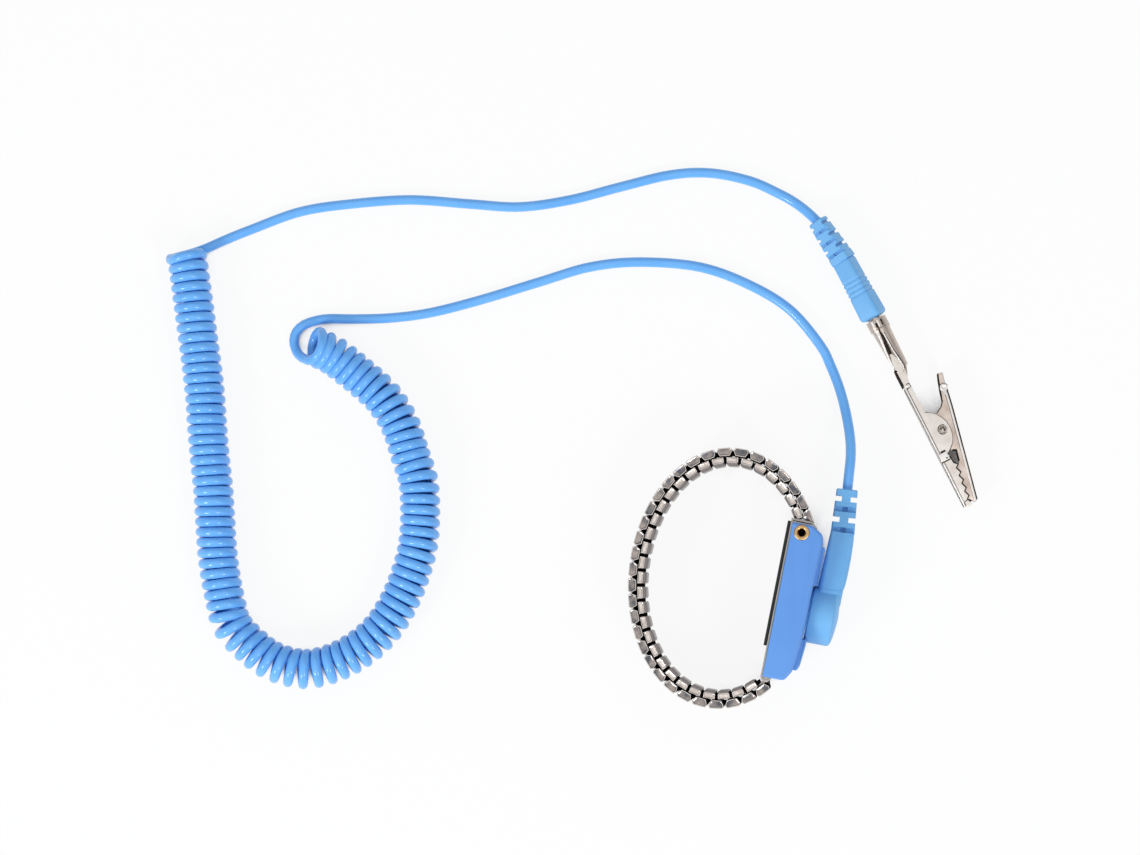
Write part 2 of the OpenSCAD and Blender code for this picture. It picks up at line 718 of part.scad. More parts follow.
module banana_pin() {
    color(nickel) in_clip() {
        on_barrel_axis(-handle_gap - 6) cylinder(h = pin_len + handle_gap + 6, r = pin_r);
        on_barrel_axis(-handle_gap) cylinder(h = handle_gap + 1.2, r = 1.9);
        on_barrel_axis(pin_len - 1) cylinder(h = 1, r1 = 1.45, r2 = pin_r);
    }
}

module lantern_spring() {
    spring_t = 0.2;
    rear = 1.25;
    front = pin_len - 1.05;
    wide = lantern_d / 2;
    collar = pin_r + 0.05;
    color(brass) in_clip() difference() {
        on_barrel_axis(0) rotate_extrude() polygon([
            [collar, rear], [collar + spring_t, rear], [wide, rear + 2], [wide - 0.05, rear + 3],
            [collar + spring_t, front], [collar, front], [wide - spring_t - 0.05, rear + 3],
            [wide - spring_t, rear + 2]
        ]);
        for (a = [0:60:300]) on_barrel_axis(rear + 1) rotate(a) translate([1, -0.2, 0])
            cube([3, 0.4, front - rear - 2]);
    }
}

// ---- alligator clip ----

// Half widths of a jaw seen along Y, as a profile of X and half width
function width_profile(points, inset) = concat(
    [for (p = points) [p.x, p.y - inset]],
    [for (p = backwards(points)) [p.x, inset - p.y]]
);

module seen_from_above(points, inset) {
    translate([0, 10, 0]) rotate([90, 0, 0]) linear_extrude(20) polygon(width_profile(points, inset));
}

// A sheet channel: side plates with the given outline, joined along the back by the given strip
module channel(outline, strip, widths) {
    difference() {
        intersection() {
            slab(-jaw_w, jaw_w) polygon(outline);
            seen_from_above(widths, 0);
        }
        difference() {
            seen_from_above(widths, clip_sheet);
            slab(-jaw_w, jaw_w) polygon(strip);
        }
    }
}

module clip_barrel() {
    inner = [barrel_r[0] - barrel_wall, barrel_r[1] - barrel_wall];
    taper_len = barrel_len - barrel_rim_len;
    difference() {
        union() {
            on_barrel_axis(0) cylinder(h = barrel_rim_len, r = 2.5);
            on_barrel_axis(barrel_rim_len) cylinder(h = taper_len, r1 = barrel_r[0], r2 = barrel_r[1]);
            on_barrel_axis(barrel_len) cylinder(h = 4, r = barrel_r[1]);
        }
        on_barrel_axis(-eps) cylinder(h = barrel_rim_len + 2 * eps, r = 2.1);
        on_barrel_axis(barrel_rim_len) cylinder(h = taper_len, r1 = inner[0], r2 = inner[1]);
        on_barrel_axis(barrel_len - eps) cylinder(h = 10, r = inner[1]);
        slab(0, 5) polygon(barrel_slot);
        slab(-3, 5) polygon([[12.8, 1.4], [16.2, 0], [17.5, -0.1], [20, -0.1], [20, 4], [12.8, 4]]);
    }
}

module clip_jaw_fixed() {
    color(nickel) in_clip() difference() {
        union() {
            channel(fixed_outline, fixed_strip, fixed_widths);
            clip_barrel();
            translate([35.5, -2.35, jaw_w / 2 - 0.55]) cube([1.9, 2.1, 0.8]);
            slab(1.8, 2.35) polygon([[17.1, -1.7], [17.9, -1.75], [18.1, -0.4], [17.3, -0.3]]);
        }
        translate([rivet_at.x, rivet_at.y, -jaw_w]) cylinder(h = 2 * jaw_w, d = rivet_d);
    }
}

module clip_jaw_moving() {
    color(nickel) in_clip() difference() {
        channel(moving_outline, moving_strip, moving_widths);
        translate([rivet_at.x, rivet_at.y, -jaw_w])
            cylinder(h = 2 * jaw_w, r = rivet_d / 2 + jaw_clearance);
    }
}

module clip_rivet() {
    color(nickel) in_clip() translate([rivet_at.x, rivet_at.y, 0]) {
        translate([0, 0, -jaw_w / 2]) cylinder(h = jaw_w, d = rivet_d);
        for (side = [0, 1]) mirror([0, 0, side]) translate([0, 0, jaw_w / 2])
            cylinder(h = rivet_head, r1 = rivet_d / 2 + 0.35, r2 = rivet_d / 2 + 0.15);
    }
}

// Torsion spring round the rivet, with a leg against the back of each jaw
module clip_spring() {
    wire_r = 0.35;
    coil_r = rivet_d / 2 + wire_r + 0.1;
    turns = 4;
    rise = 2 * wire_r + 0.02;
    winding = [
        for (a = [-120:30:360 * turns - 130])
            [rivet_at.x + coil_r * cos(a), rivet_at.y + coil_r * sin(a), rise * (a / 360 - turns / 2 + 0.5)]
    ];
    low_leg = [[24.6, -1.3, winding[0].z], [28.1, -0.75, winding[0].z]];
    end_z = winding[len(winding) - 1].z;
    high_leg = [[28.1, 3.6, end_z], [24.6, 5.55, end_z]];
    color(steel) in_clip() tube(concat(low_leg, winding, high_leg), wire_r, 8);
}

housing_cover();
back_plate();
plate_liner();
hinge_eyelet();
snap_stud();
stud_washer();
contact_spring();
end_pin();
end_hook();
plug_cap();
plug_boot();
snap_socket();
snap_spring();
resistor();
socket_terminal();
wire_crimp();
cord_tail_a();
cord_coil();
cord_tail_b();
banana_handle();
banana_boot();
banana_pin();
lantern_spring();
clip_jaw_fixed();
clip_jaw_moving();
clip_rivet();
clip_spring();
for (i = [0:links - 1])
    band_link(i);
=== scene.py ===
from contextlib import contextmanager
from math import cos, exp, floor, pi, radians, sin, sqrt, tan

import bmesh
import bpy
from mathutils import Matrix, Vector


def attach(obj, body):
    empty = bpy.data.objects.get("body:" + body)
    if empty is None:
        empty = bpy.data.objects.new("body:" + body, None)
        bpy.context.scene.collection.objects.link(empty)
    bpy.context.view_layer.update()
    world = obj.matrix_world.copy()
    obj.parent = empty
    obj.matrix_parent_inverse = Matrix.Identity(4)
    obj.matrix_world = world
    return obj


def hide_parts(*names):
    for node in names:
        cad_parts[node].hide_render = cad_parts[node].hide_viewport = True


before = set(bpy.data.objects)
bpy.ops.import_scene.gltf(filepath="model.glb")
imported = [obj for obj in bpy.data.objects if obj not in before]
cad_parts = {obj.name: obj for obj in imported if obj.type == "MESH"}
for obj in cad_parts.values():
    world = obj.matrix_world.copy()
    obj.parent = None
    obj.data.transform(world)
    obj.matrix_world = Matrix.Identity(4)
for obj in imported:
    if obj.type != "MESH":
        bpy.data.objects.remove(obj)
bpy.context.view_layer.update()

# ---- Bench and light ----
# The strap lies on a matt white board under two soft boxes in a pale room. The board shows
# as plain white, also in bright metal, and keeps the strap's faint shadow.
MM = 0.001
IMAGE_W = 1140
scene = bpy.context.scene
scene.view_settings.view_transform = "Standard"


def added(name, data):
    """A new object, in the scene."""
    thing = bpy.data.objects.new(name, data)
    scene.collection.objects.link(thing)
    return thing


camera_at = MM * Vector((26.97, -0.69, 870))
looks_at = MM * Vector((-37.83, 35.91, 0))
focal_px = 3638.24
camera_data = bpy.data.cameras.new("camera")
camera_data.sensor_width = 36
camera_data.lens = camera_data.sensor_width * focal_px / IMAGE_W
camera = added("camera", camera_data)
back = (camera_at - looks_at).normalized()
right = Vector((0, 1, 0)).cross(back).normalized()
camera.matrix_world = (
    Matrix.Translation(camera_at) @ Matrix((right, back.cross(right), back)).transposed().to_4x4()
)
scene.camera = camera


class Value:
    """A socket of a node tree. Arithmetic on it adds the Math nodes that work it out."""

    def __init__(self, tree, socket):
        self.tree = tree
        self.socket = socket

    def add(self, kind, settings=None, inputs=None, output=0):
        """Another node: its settings first, then values or links for its sockets."""
        node = self.tree.nodes.new(kind)
        for name, setting in (settings or {}).items():
            if name == "stops":
                ends = node.color_ramp.elements
                for element, (place, colour) in zip((ends[0], ends[1]), setting[:2]):
                    element.position, element.color = place, (*colour, 1)
                for place, colour in setting[2:]:
                    ends.new(place).color = (*colour, 1)
            else:
                setattr(node, name, setting)
        for name, value in (inputs or {}).items():
            if isinstance(value, Value):
                self.tree.links.new(value.socket, node.inputs[name])
            else:
                node.inputs[name].default_value = value
        return Value(self.tree, node.outputs[output])

    def maths(self, operation, first, second=0.0):
        return self.add("ShaderNodeMath", {"operation": operation}, {0: first, 1: second})

    def clamped(self, gain, offset):
        """The value times a gain, plus an offset, held between 0 and 1."""
        settings = {"operation": "MULTIPLY_ADD", "use_clamp": True}
        return self.add("ShaderNodeMath", settings, {0: self, 1: gain, 2: offset})

    def __add__(self, other):
        return self.maths("ADD", self, other)

    def __sub__(self, other):
        return self.maths("SUBTRACT", self, other)

    def __rsub__(self, other):
        return self.maths("SUBTRACT", other, self)

    def __mul__(self, other):
        return self.maths("MULTIPLY", self, other)

    __radd__ = __add__
    __rmul__ = __mul__

    def feed(self, node, name):
        self.tree.links.new(self.socket, node.inputs[name])


def colour(code):
    """Linear red, green and blue of a six-digit colour code, and full cover."""
    parts = [int(code[k : k + 2], 16) / 255 for k in (0, 2, 4)]
    return (*(c / 12.92 if c <= 0.04045 else ((c + 0.055) / 1.055) ** 2.4 for c in parts), 1)


def board_finish():
    """Matt white paper that the camera and bright metal see as white, shaded close to the strap."""
    material = bpy.data.materials.new("white_board")
    material.use_nodes = True
    tree = material.node_tree
    tree.nodes.clear()
    rays = tree.nodes.new("ShaderNodeLightPath")
    seen = Value(tree, rays.outputs["Is Camera Ray"])
    for name in ("Is Glossy Ray", "Is Transmission Ray"):
        seen = seen + Value(tree, rays.outputs[name])
    sky = seen.add("ShaderNodeAmbientOcclusion", {"samples": 8}, {"Distance": 13 * MM}, 1)
    open_floor = sky.clamped(5.4, -0.95)
    paper = seen.add("ShaderNodeBsdfDiffuse", None, {"Color": (0.86, 0.86, 0.86, 1)})
    white = seen.add("ShaderNodeEmission", None, {"Color": (1, 1, 1, 1), "Strength": 1.0})
    shown = seen.add("ShaderNodeMixShader", None, {0: seen * 0.9 * open_floor, 1: paper, 2: white})
    shown.feed(tree.nodes.new("ShaderNodeOutputMaterial"), "Surface")
    return material


board_mesh = bpy.data.meshes.new("board")
board_mesh.from_pydata([(-2, -2, 0), (2, -2, 0), (2, 2, 0), (-2, 2, 0)], [], [(0, 1, 2, 3)])
board_mesh.materials.append(board_finish())
board = added("board", board_mesh)


def mixed(mask, low, high):
    """The first colour where the mask is 0, the second where it is 1."""
    return mask.add("ShaderNodeMix", {"data_type": "RGBA"}, {0: mask, 6: low, 7: high}, 2)


def light_room():
    """A pale room: even for matt surfaces, darker at half height for what metal mirrors."""
    world = bpy.data.worlds.new("room")
    world.use_nodes = True
    scene.world = world
    tree = world.node_tree
    rays = tree.nodes.new("ShaderNodeLightPath")
    glossy = Value(tree, rays.outputs["Is Glossy Ray"])
    seen = Value(tree, rays.outputs["Is Camera Ray"]) + Value(tree, rays.outputs["Is Transmission Ray"])
    ways = tree.nodes.new("ShaderNodeTexCoord")
    height = glossy.add("ShaderNodeSeparateXYZ", None, {0: Value(tree, ways.outputs["Generated"])}, 2)
    mirrored = height.add(
        "ShaderNodeValToRGB",
        {"stops": [(0.0, (1, 1, 1)), (1.0, (1, 0.98, 0.96)), (0.12, (0.6, 0.59, 0.58)),
                   (0.28, (0.13, 0.13, 0.14)), (0.6, (0.2, 0.2, 0.22)), (0.8, (0.52, 0.51, 0.5)),
                   (0.93, (0.92, 0.9, 0.88)), (0.975, (0.85, 0.83, 0.81)), (0.991, (0.5, 0.49, 0.49)),
                   (0.998, (0.82, 0.8, 0.78))]},
        {0: height},
    )
    even = (0.66, 0.67, 0.69, 1)
    room = mixed(seen, mixed(glossy, even, mirrored), (1, 1, 1, 1))
    room.feed(tree.nodes["Background"], "Color")


light_room()
for name, place, size, watts in (
    ("key_box", (-0.70, -0.62, 0.62), 0.30, 5.0),
    ("fill_box", (0.42, -0.62, 0.80), 0.24, 2.9),
):
    lamp_data = bpy.data.lights.new(name, "AREA")
    lamp_data.size = size
    lamp_data.energy = watts
    lamp = added(name, lamp_data)
    lamp.location = place
    lamp.rotation_euler = (looks_at - Vector(place)).to_track_quat("-Z", "Y").to_euler()

# ---- Earth cord ----
# A soft vinyl cord with a copper core. Its middle was wound on a mandrel and baked, so it
# keeps a left-handed coil, and a plain tail runs from each end of the coil to a plug.
cord_d = 2.4
coil_d = 9.8
turn_r = (coil_d - cord_d) / 2
turn_points = 22
closed_pitch = 2.46
last_turn = 165 / 360
turn_lean = 0.06
first_lean, first_lean_len = 0.08, 12
last_lean, last_lean_len = 0.22, 4
first_tip, first_tip_len = 0.75, 7
tail_step = 1.5
up = Vector((0, 0, 1))
tail_a_route = [
    (28.3, 19.6, 9.5), (28.45, 20.4, 9.5), (28.9, 24.5, 9.3), (29.3, 28.5, 8.2), (29.2, 32.7, 6.6),
    (28.3, 38.6, 4.4), (26.8, 44.6, 2.6), (24.7, 50.2, 1.5), (22.1, 55.4, 1.2), (15, 63.8, 1.2),
    (5.4, 69.8, 1.2), (-6.5, 74.2, 1.2), (-20.9, 75.5, 1.2), (-32.9, 74.4, 1.2), (-45, 70.9, 1.2),
    (-59.4, 66.6, 1.2), (-71.5, 63.6, 1.2), (-81.2, 62.4, 1.2), (-90, 62.2, 1.2),
    (-95.8, 62.3, 1.2), (-99, 61.9, 1.2), (-102, 60.9, 1.2), (-103.9, 59.2, 1.2),
    (-104.5, 57.1, 1.3), (-104.1, 55.2, 1.7), (-103.1, 53.6, 2.7),
]
coil_route = [
    (-99.8, 55.8), (-97, 54.5), (-94.1, 52.9), (-91.3, 50.8),
    (-85.5, 46), (-81.9, 42.4), (-78.2, 36.4), (-75.8, 29.2),
    (-73.9, 23.2), (-73.4, 16.1), (-73.9, 7.7), (-75.8, 0.5), (-78.2, -5.4), (-81.8, -11.4),
    (-86.6, -16.2), (-92.6, -19.8), (-98.6, -21.7), (-103.4, -21.7), (-109.4, -19.8),
    (-114.3, -16.2), (-118.7, -11.4), (-120.4, -5.4), (-121.6, 0.5), (-122.4, 6.5),
    (-122.9, 13.7), (-123.4, 20.9), (-124.2, 28.1), (-124.9, 35.4), (-125.4, 42.6),
    (-126.2, 49.8), (-127.2, 57), (-128.2, 64.3), (-129.2, 71.5), (-130, 77.6),
]
tail_b_route = [
    (-134.1, 76.8, 4.2), (-133.8, 77.1, 1.9), (-131.8, 77.7, 1.25), (-129.5, 78.3, 1.2),
    (-126, 79.5, 1.2), (-121.4, 81.5, 1.2), (-115.3, 83.9, 1.2), (-103.2, 88.2, 1.2),
    (-91, 90, 1.2), (-76.4, 90.9, 1.2), (-61.9, 89.8, 1.2),
    (-49.8, 89, 1.2), (-37.7, 90.6, 1.2), (-25.7, 93.6, 1.2), (-13.7, 96.4, 1.2), (-4.1, 96.8, 1.2),
    (5.5, 94.8, 1.2), (12.6, 91.6, 1.2), (16.2, 89.5, 1.5), (19.2, 87.1, 2.4), (21.8, 84.5, 3.4),
]


def smooth_path(points, step, before=None, after=None):
    """Points about a step apart on the smooth curve through the given ones."""
    points = [Vector(p) for p in points]
    ends = [before or points[0], *points, after or points[-1]]
    path = []
    for a, b, c, d in zip(ends, ends[1:], ends[2:], ends[3:]):
        count = max(2, round((c - b).length / step))
        for k in range(count):
            t = k / count
            square, cube = 2 * a - 5 * b + 4 * c - d, 3 * b - a - 3 * c + d
            path.append(0.5 * (2 * b + (c - a) * t + square * t**2 + cube * t**3))
    return path + [points[-1]]


def coil_path():
    """The cord's centre line through the coil: turns that touch on the inside of each bend. They
    lean a little, more towards both ends, and the first ones tip over."""
    axis = smooth_path([(x, y, coil_d / 2) for x, y in coil_route], closed_pitch / turn_points)
    end = len(axis) - 1
    heading = [axis[min(k + 1, end)] - axis[max(k - 1, 0)] for k in range(len(axis))]
    reach = 2 * turn_points
    travelled, turned, rows = 0.0, 0.0, []
    for k, place in enumerate(axis):
        first, last = max(k - reach, 0), min(k + reach, end)
        bend = heading[first].angle(heading[last]) / ((last - first) * closed_pitch / turn_points)
        pitch = max(closed_pitch, cord_d / (1 - turn_r * bend))
        rows.append((travelled, turned, place, heading[k].normalized()))
        step = (axis[min(k + 1, end)] - place).length
        travelled += step
        turned += step / pitch
    whole = floor(turned) + last_turn
    path = []
    for along, turn, place, ahead in rows:
        angle = pi - 2 * pi * turn * whole / turned
        side = up.cross(ahead)
        lean = turn_lean + first_lean * exp(-along / first_lean_len)
        lean += last_lean * exp((along - travelled) / last_lean_len)
        tip = first_tip * exp(-along / first_tip_len)
        across, upward = side - lean * ahead, up + tip * ahead
        path.append(place + turn_r * (cos(angle) * across + sin(angle) * upward))
    return path


coil = coil_path()
tail_a = smooth_path(tail_a_route + [coil[0]], tail_step, after=coil[6])
tail_b = smooth_path([coil[-1]] + tail_b_route, tail_step, before=coil[-7])
cord_path = tail_a + coil[1:-1] + tail_b
cord_length = sum((q - p).length for p, q in zip(cord_path, cord_path[1:]))


def wire(name, path, radius, sides=12):
    """A round wire or cord along a path in millimetres, its ends closed."""
    curve = bpy.data.curves.new(name, "CURVE")
    curve.dimensions = "3D"
    curve.bevel_depth = radius * MM
    curve.bevel_resolution = (sides - 4) // 2
    curve.use_fill_caps = True
    spline = curve.splines.new("POLY")
    spline.points.add(len(path) - 1)
    for point, place in zip(spline.points, path):
        point.co = (*(MM * Vector(place)), 1)
    spline.use_smooth = True
    return added(name, curve)


def finish(name, base, roughness, metallic=0.0, **more):
    """A new material, its shader with the constant values set, and the piece's own coordinates."""
    material = bpy.data.materials.new(name)
    material.use_nodes = True
    tree = material.node_tree
    shader = tree.nodes["Principled BSDF"]
    shader.inputs["Base Color"].default_value = colour(base)
    shader.inputs["Roughness"].default_value = roughness
    shader.inputs["Metallic"].default_value = metallic
    for socket, value in more.items():
        shader.inputs[socket.replace("_", " ")].default_value = value
    place = Value(tree, tree.nodes.new("ShaderNodeTexCoord").outputs["Object"])
    return material, shader, place


def grain(place, size, detail=2.0, stretch=(1, 1, 1)):
    """Noise from 0 to 1 with grains of that many millimetres, drawn out along an axis."""
    scaled = place.add("ShaderNodeMapping", None, {0: place, 3: stretch})
    noise = {"Vector": scaled, "Scale": 1 / (size * MM), "Detail": detail}
    return scaled.add("ShaderNodeTexNoise", None, noise)


def blended(mask, low, high):
    """A colour that goes from one colour code to the other with the mask."""
    return mixed(mask, colour(low), colour(high))


def relief(height, depth):
    """A bump of that many millimetres."""
    return height.add("ShaderNodeBump", None, {"Strength": 1.0, "Distance": depth * MM, "Height": height})


def dressed(piece, material, body, slot, *stands_for, edge=None):
    """The piece in its finish, on its body, in place of the nodes that it stands for."""
    piece.data.materials.clear()
    for coat in (material, edge) if edge else (material,):
        piece.data.materials.append(coat)
    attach(piece, body)
    if stands_for:
        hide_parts(*stands_for)
    return piece


def cord_vinyl():
    """Extruded sky blue vinyl: a clean gloss with the die's slight ripple and hazier patches."""
    material, shader, place = finish("cord_vinyl", "6bb1f5", 0.3, IOR=1.5)
    patches = grain(place, 9)
    blended(patches, "62a9f2", "74b9f9").feed(shader, "Base Color")
    (0.12 + 0.14 * patches).feed(shader, "Roughness")
    relief(grain(place, 1.6), 0.02).feed(shader, "Normal")
    return material


cord = wire("cord", cord_path, cord_d / 2)
dressed(cord, cord_vinyl(), "cord_set", "cord_plastic", "cord_tail_a", "cord_coil", "cord_tail_b")

# ---- Housing cover ----
# One injection moulding in cornflower blue polypropylene, open to the wrist. It hinges on a
# tubular eyelet, and a pad above and below the snap keeps the plug from rocking.
cover_w = 19.0
side_wall = 1.2
cover_back = -2.45
cover_face = 5.0
pad_face = 6.1
pad_side = 2.2
rim_round = 0.7
recess_r = 7.3
stud_hole_r = 1.6
barrel_r = 1.25
flange_r = 1.85
stud_y = -18.2
mid_z = cover_w / 2
housing_at = (17.8, 10.4, 0)
housing_lean = -11.3
in_housing = Matrix.Translation(housing_at) @ Matrix.Rotation(radians(housing_lean), 4, "Z")
in_middle = in_housing @ Matrix.Translation((0, 0, mid_z))
cover_corners = [
    (-4, 2.05, 0), (2.3, 2.05, 1.6), (4.9, 0.4, 1.6), (5.25, -1.2, 1.5), (cover_face, -12, 4),
    (cover_face, -20, 4), (4.8, -26, 8), (4.1, -32.2, 3), (2.6, -34.7, 1.5), (-4, -34.7, 0),
]
cavity_corners = [
    (-5, 6, 0), (7, 6, 0), (7, -0.4, 0), (4.3, -0.4, 0), (4.3, -20, 0), (3.85, -26.2, 0),
    (2.6, -33.7, 0), (1.2, -33.7, 0), (1.2, -36, 0), (-5, -36, 0),
]
upper_pad = [(4, -2.4, 0), (pad_face, -2.4, 0.5), (pad_face, -11.6, 0.2), (4, -11.6, 0)]
lower_pad = [
    (4, -24.4, 0), (5.85, -24.4, 0.2), (5.95, -26, 4), (5.5, -30.8, 0.6), (5.0, -31.9, 0.4),
    (4, -31.9, 0),
]


def rounded(corners, steps=5):
    """An outline from corners (x, y, radius), each rounded by an arc of its radius."""
    outline = []
    for k, (x, y, radius) in enumerate(corners):
        corner = Vector((x, y))
        if radius == 0:
            outline.append(corner)
            continue
        before = (Vector(corners[k - 1][:2]) - corner).normalized()
        after = (Vector(corners[(k + 1) % len(corners)][:2]) - corner).normalized()
        half = before.angle(after) / 2
        centre = corner + (before + after).normalized() * radius / sin(half)
        start = corner + before * radius / tan(half) - centre
        end = corner + after * radius / tan(half) - centre
        sweep = start.angle_signed(end)
        for step in range(steps + 1):
            outline.append(centre + Matrix.Rotation(-sweep * step / steps, 2) @ start)
    return outline


def inset(outline, depth):
    """The outline moved in by a depth, whichever way round it runs."""
    area = sum(p.cross(q) for p, q in zip(outline, outline[1:] + outline[:1]))
    turn = 1 if area > 0 else -1
    moved = []
    for k, here in enumerate(outline):
        before = (here - outline[k - 1]).normalized()
        after = (outline[(k + 1) % len(outline)] - here).normalized()
        inward = Vector((-before.y - after.y, before.x + after.x)).normalized() * turn
        share = max(0.4, cos(before.angle(after, 0) / 2))
        moved.append(here + inward * depth / share)
    return moved


@contextmanager
def reworked(mesh):
    """The mesh opened for editing, and written back afterwards."""
    form = bmesh.new()
    form.from_mesh(mesh)
    yield form
    form.to_mesh(mesh)
    form.free()


def skin(name, rings, place):
    """A closed mesh over rings of equally many points, in millimetres in the piece's own frame."""
    mesh = bpy.data.meshes.new(name)
    with reworked(mesh) as form:
        rows = [[form.verts.new(MM * (place @ Vector(p))) for p in ring] for ring in rings]
        for row, following in zip(rows, rows[1:]):
            for k in range(len(row)):
                form.faces.new((row[k - 1], row[k], following[k], following[k - 1]))
        form.faces.new(rows[0])
        form.faces.new(rows[-1])
        bmesh.ops.recalc_face_normals(form, faces=form.faces)
    mesh.shade_smooth()
    mesh.set_sharp_from_angle(angle=radians(35))
    return added(name, mesh)


def plate(name, outline, z0, z1, edge, place, steps=4):
    """A flat piece of that outline from z0 to z1, its two rims rounded by the edge radius."""
    rings = []
    bends = [pi / 2 * k / steps for k in range(steps + 1)] if edge else [0]
    for z, way in ((z0, 1), (z1, -1)):
        side = [
            [(p.x, p.y, z + way * edge * (1 - sin(a))) for p in inset(outline, edge * (1 - cos(a)))]
            for a in bends[::-1]
        ]
        rings += side if way == 1 else side[::-1]
    return skin(name, rings, place)


def lathe(name, profile, place, sides=64, bulge=lambda angle: 1):
    """A turned piece: a profile of (radius, height) about the place's Z axis."""
    angles = [2 * pi * k / sides for k in range(sides)]
    rings = []
    for radius, height in profile:
        reaches = [(radius * bulge(a), a) for a in angles]
        rings.append([(r * cos(a), r * sin(a), height) for r, a in reaches])
    return skin(name, rings, place)


def baked(piece):
    """The piece with its modifiers worked into its mesh."""
    graph = bpy.context.evaluated_depsgraph_get()
    piece.data = bpy.data.meshes.new_from_object(piece.evaluated_get(graph))
    piece.modifiers.clear()
    return piece


def joined(piece, tool, operation="DIFFERENCE"):
    """The piece cut by, or made one with, a tool that is then used up."""
    step = piece.modifiers.new("tool", "BOOLEAN")
    step.operation = operation
    step.object = tool
    step.solver = "EXACT"
    baked(piece)
    bpy.data.objects.remove(tool)
    return piece


def eased(piece, width, segments=2, angle=40):
    """The piece with its sharp edges rounded to that width."""
    piece.data.shade_smooth()
    step = piece.modifiers.new("edges", "BEVEL")
    step.width = width * MM
    step.segments = segments
    step.limit_method = "ANGLE"
    step.angle_limit = radians(angle)
    step.harden_normals = True
    return baked(piece)


def cover_plastic():
    """Cornflower polypropylene off a lightly polished tool: satin, with a little flow shading."""
    material, shader, place = finish("cover_plastic", "6099e3", 0.4, IOR=1.49)
    flow = grain(place, 14, 1.0)
    blended(flow, "5a93de", "679fe8").feed(shader, "Base Color")
    (0.34 + 0.14 * grain(place, 2.5)).feed(shader, "Roughness")
    relief(grain(place, 0.35, 3.0), 0.012).feed(shader, "Normal")
    return material


on_snap = in_housing @ Matrix.Translation((0, stud_y, mid_z)) @ Matrix.Rotation(pi / 2, 4, "Y")
cover = plate("cover", rounded(cover_corners), 0, cover_w, rim_round, in_housing)
open_back = [Vector(p) for p in ((cover_back, 9), (-9, 9), (-9, -40), (cover_back, -40))]
joined(cover, plate("open_back", open_back, -1, cover_w + 1, 0, in_housing))
for pad in (upper_pad, lower_pad):
    joined(cover, plate("pad", rounded(pad), pad_side, cover_w - pad_side, 0.35, in_housing), "UNION")
joined(cover, lathe("recess", [(recess_r, cover_face), (recess_r, 12)], on_snap))
joined(cover, plate("cavity", rounded(cavity_corners), side_wall, cover_w - side_wall, 0, in_housing))
for name, radius, bottom, top, place, sides in (
    ("stud_hole", stud_hole_r, 0, 9, on_snap, 32),
    ("eyelet_hole", barrel_r, -1, cover_w + 1, in_housing, 32),
    ("top_seat", flange_r, cover_w - 0.2, cover_w + 1, in_housing, 48),
    ("low_seat", flange_r, -1, 0.3, in_housing, 48),
):
    joined(cover, lathe(name, [(radius, bottom), (radius, top)], place, sides))
eased(cover, 0.1)
dressed(cover, cover_plastic(), "housing", "cover_plastic", "housing_cover")

# ---- Hinge eyelet ----
# A tubular brass eyelet, its lower flange pressed and its upper end rolled over, that runs
# through the cover and the steel frame and is the hinge between them.
eyelet_profile = [
    (0.87, 0.12), (0.98, 0), (1.75, 0), (flange_r, 0.1), (flange_r, 0.28), (barrel_r, 0.3),
    (barrel_r, cover_w - 0.2), (1.82, cover_w - 0.2), (flange_r, cover_w - 0.08),
    (1.78, cover_w + 0.03), (1.6, cover_w + 0.08),
    (1.2, cover_w + 0.08), (1.02, cover_w + 0.02), (0.9, cover_w - 0.14), (0.86, cover_w - 0.4),
    (0.85, 0.4), (0.87, 0.12),
]


def bright_brass():
    """Lacquered brass with a warm gold shine, stained in small patches."""
    material, shader, place = finish("bright_brass", "dcb47e", 0.34, 1.0)
    stains = grain(place, 1.1)
    blended(stains, "cf9f62", "f0d09e").feed(shader, "Base Color")
    (0.28 + 0.16 * stains).feed(shader, "Roughness")
    return material


def ring_skin(name, profile, place):
    """A turned ring: a closed profile of (radius, height), the first point given again last."""
    piece = lathe(name, profile, place)
    with reworked(piece.data) as form:
        bmesh.ops.delete(form, geom=[f for f in form.faces if len(f.verts) > 4], context="FACES_ONLY")
        bmesh.ops.remove_doubles(form, verts=form.verts, dist=1e-7)
        bmesh.ops.recalc_face_normals(form, faces=form.faces)
    piece.data.shade_smooth()
    piece.data.set_sharp_from_angle(angle=radians(50))
    return piece


brass = bright_brass()
dressed(ring_skin("eyelet", eyelet_profile, in_housing), brass, "housing", "brass", "hinge_eyelet")

# ---- Steel frame and liner ----
# A stainless pressing behind the cover: the back, two cheeks, the tab that carries the first
# link and the lugs of the end pin. A black rubber liner is bonded to its skin side.


def pressed_steel():
    """Rolled stainless sheet: a satin grain along the sheet and faint handling marks."""
    material, shader, place = finish(
        "pressed_steel", "b9b6b4", 0.3, 1.0, Specular_Tint=(0.4, 0.4, 0.4, 1)
    )
    lines = grain(place, 0.5, 3.0, (1, 0.08, 1))
    blended(grain(place, 5), "a19d9b", "c8c4c0").feed(shader, "Base Color")
    (0.2 + 0.2 * lines).feed(shader, "Roughness")
    relief(lines, 0.01).feed(shader, "Normal")
    return material


def black_rubber():
    """Conductive black rubber with a fine grain."""
    material, shader, place = finish("black_rubber", "1c1c1e", 0.7, IOR=1.5)
    cloth = grain(place, 0.3, 3.0)
    blended(cloth, "161617", "2a2a2c").feed(shader, "Base Color")
    relief(cloth, 0.04).feed(shader, "Normal")
    return material


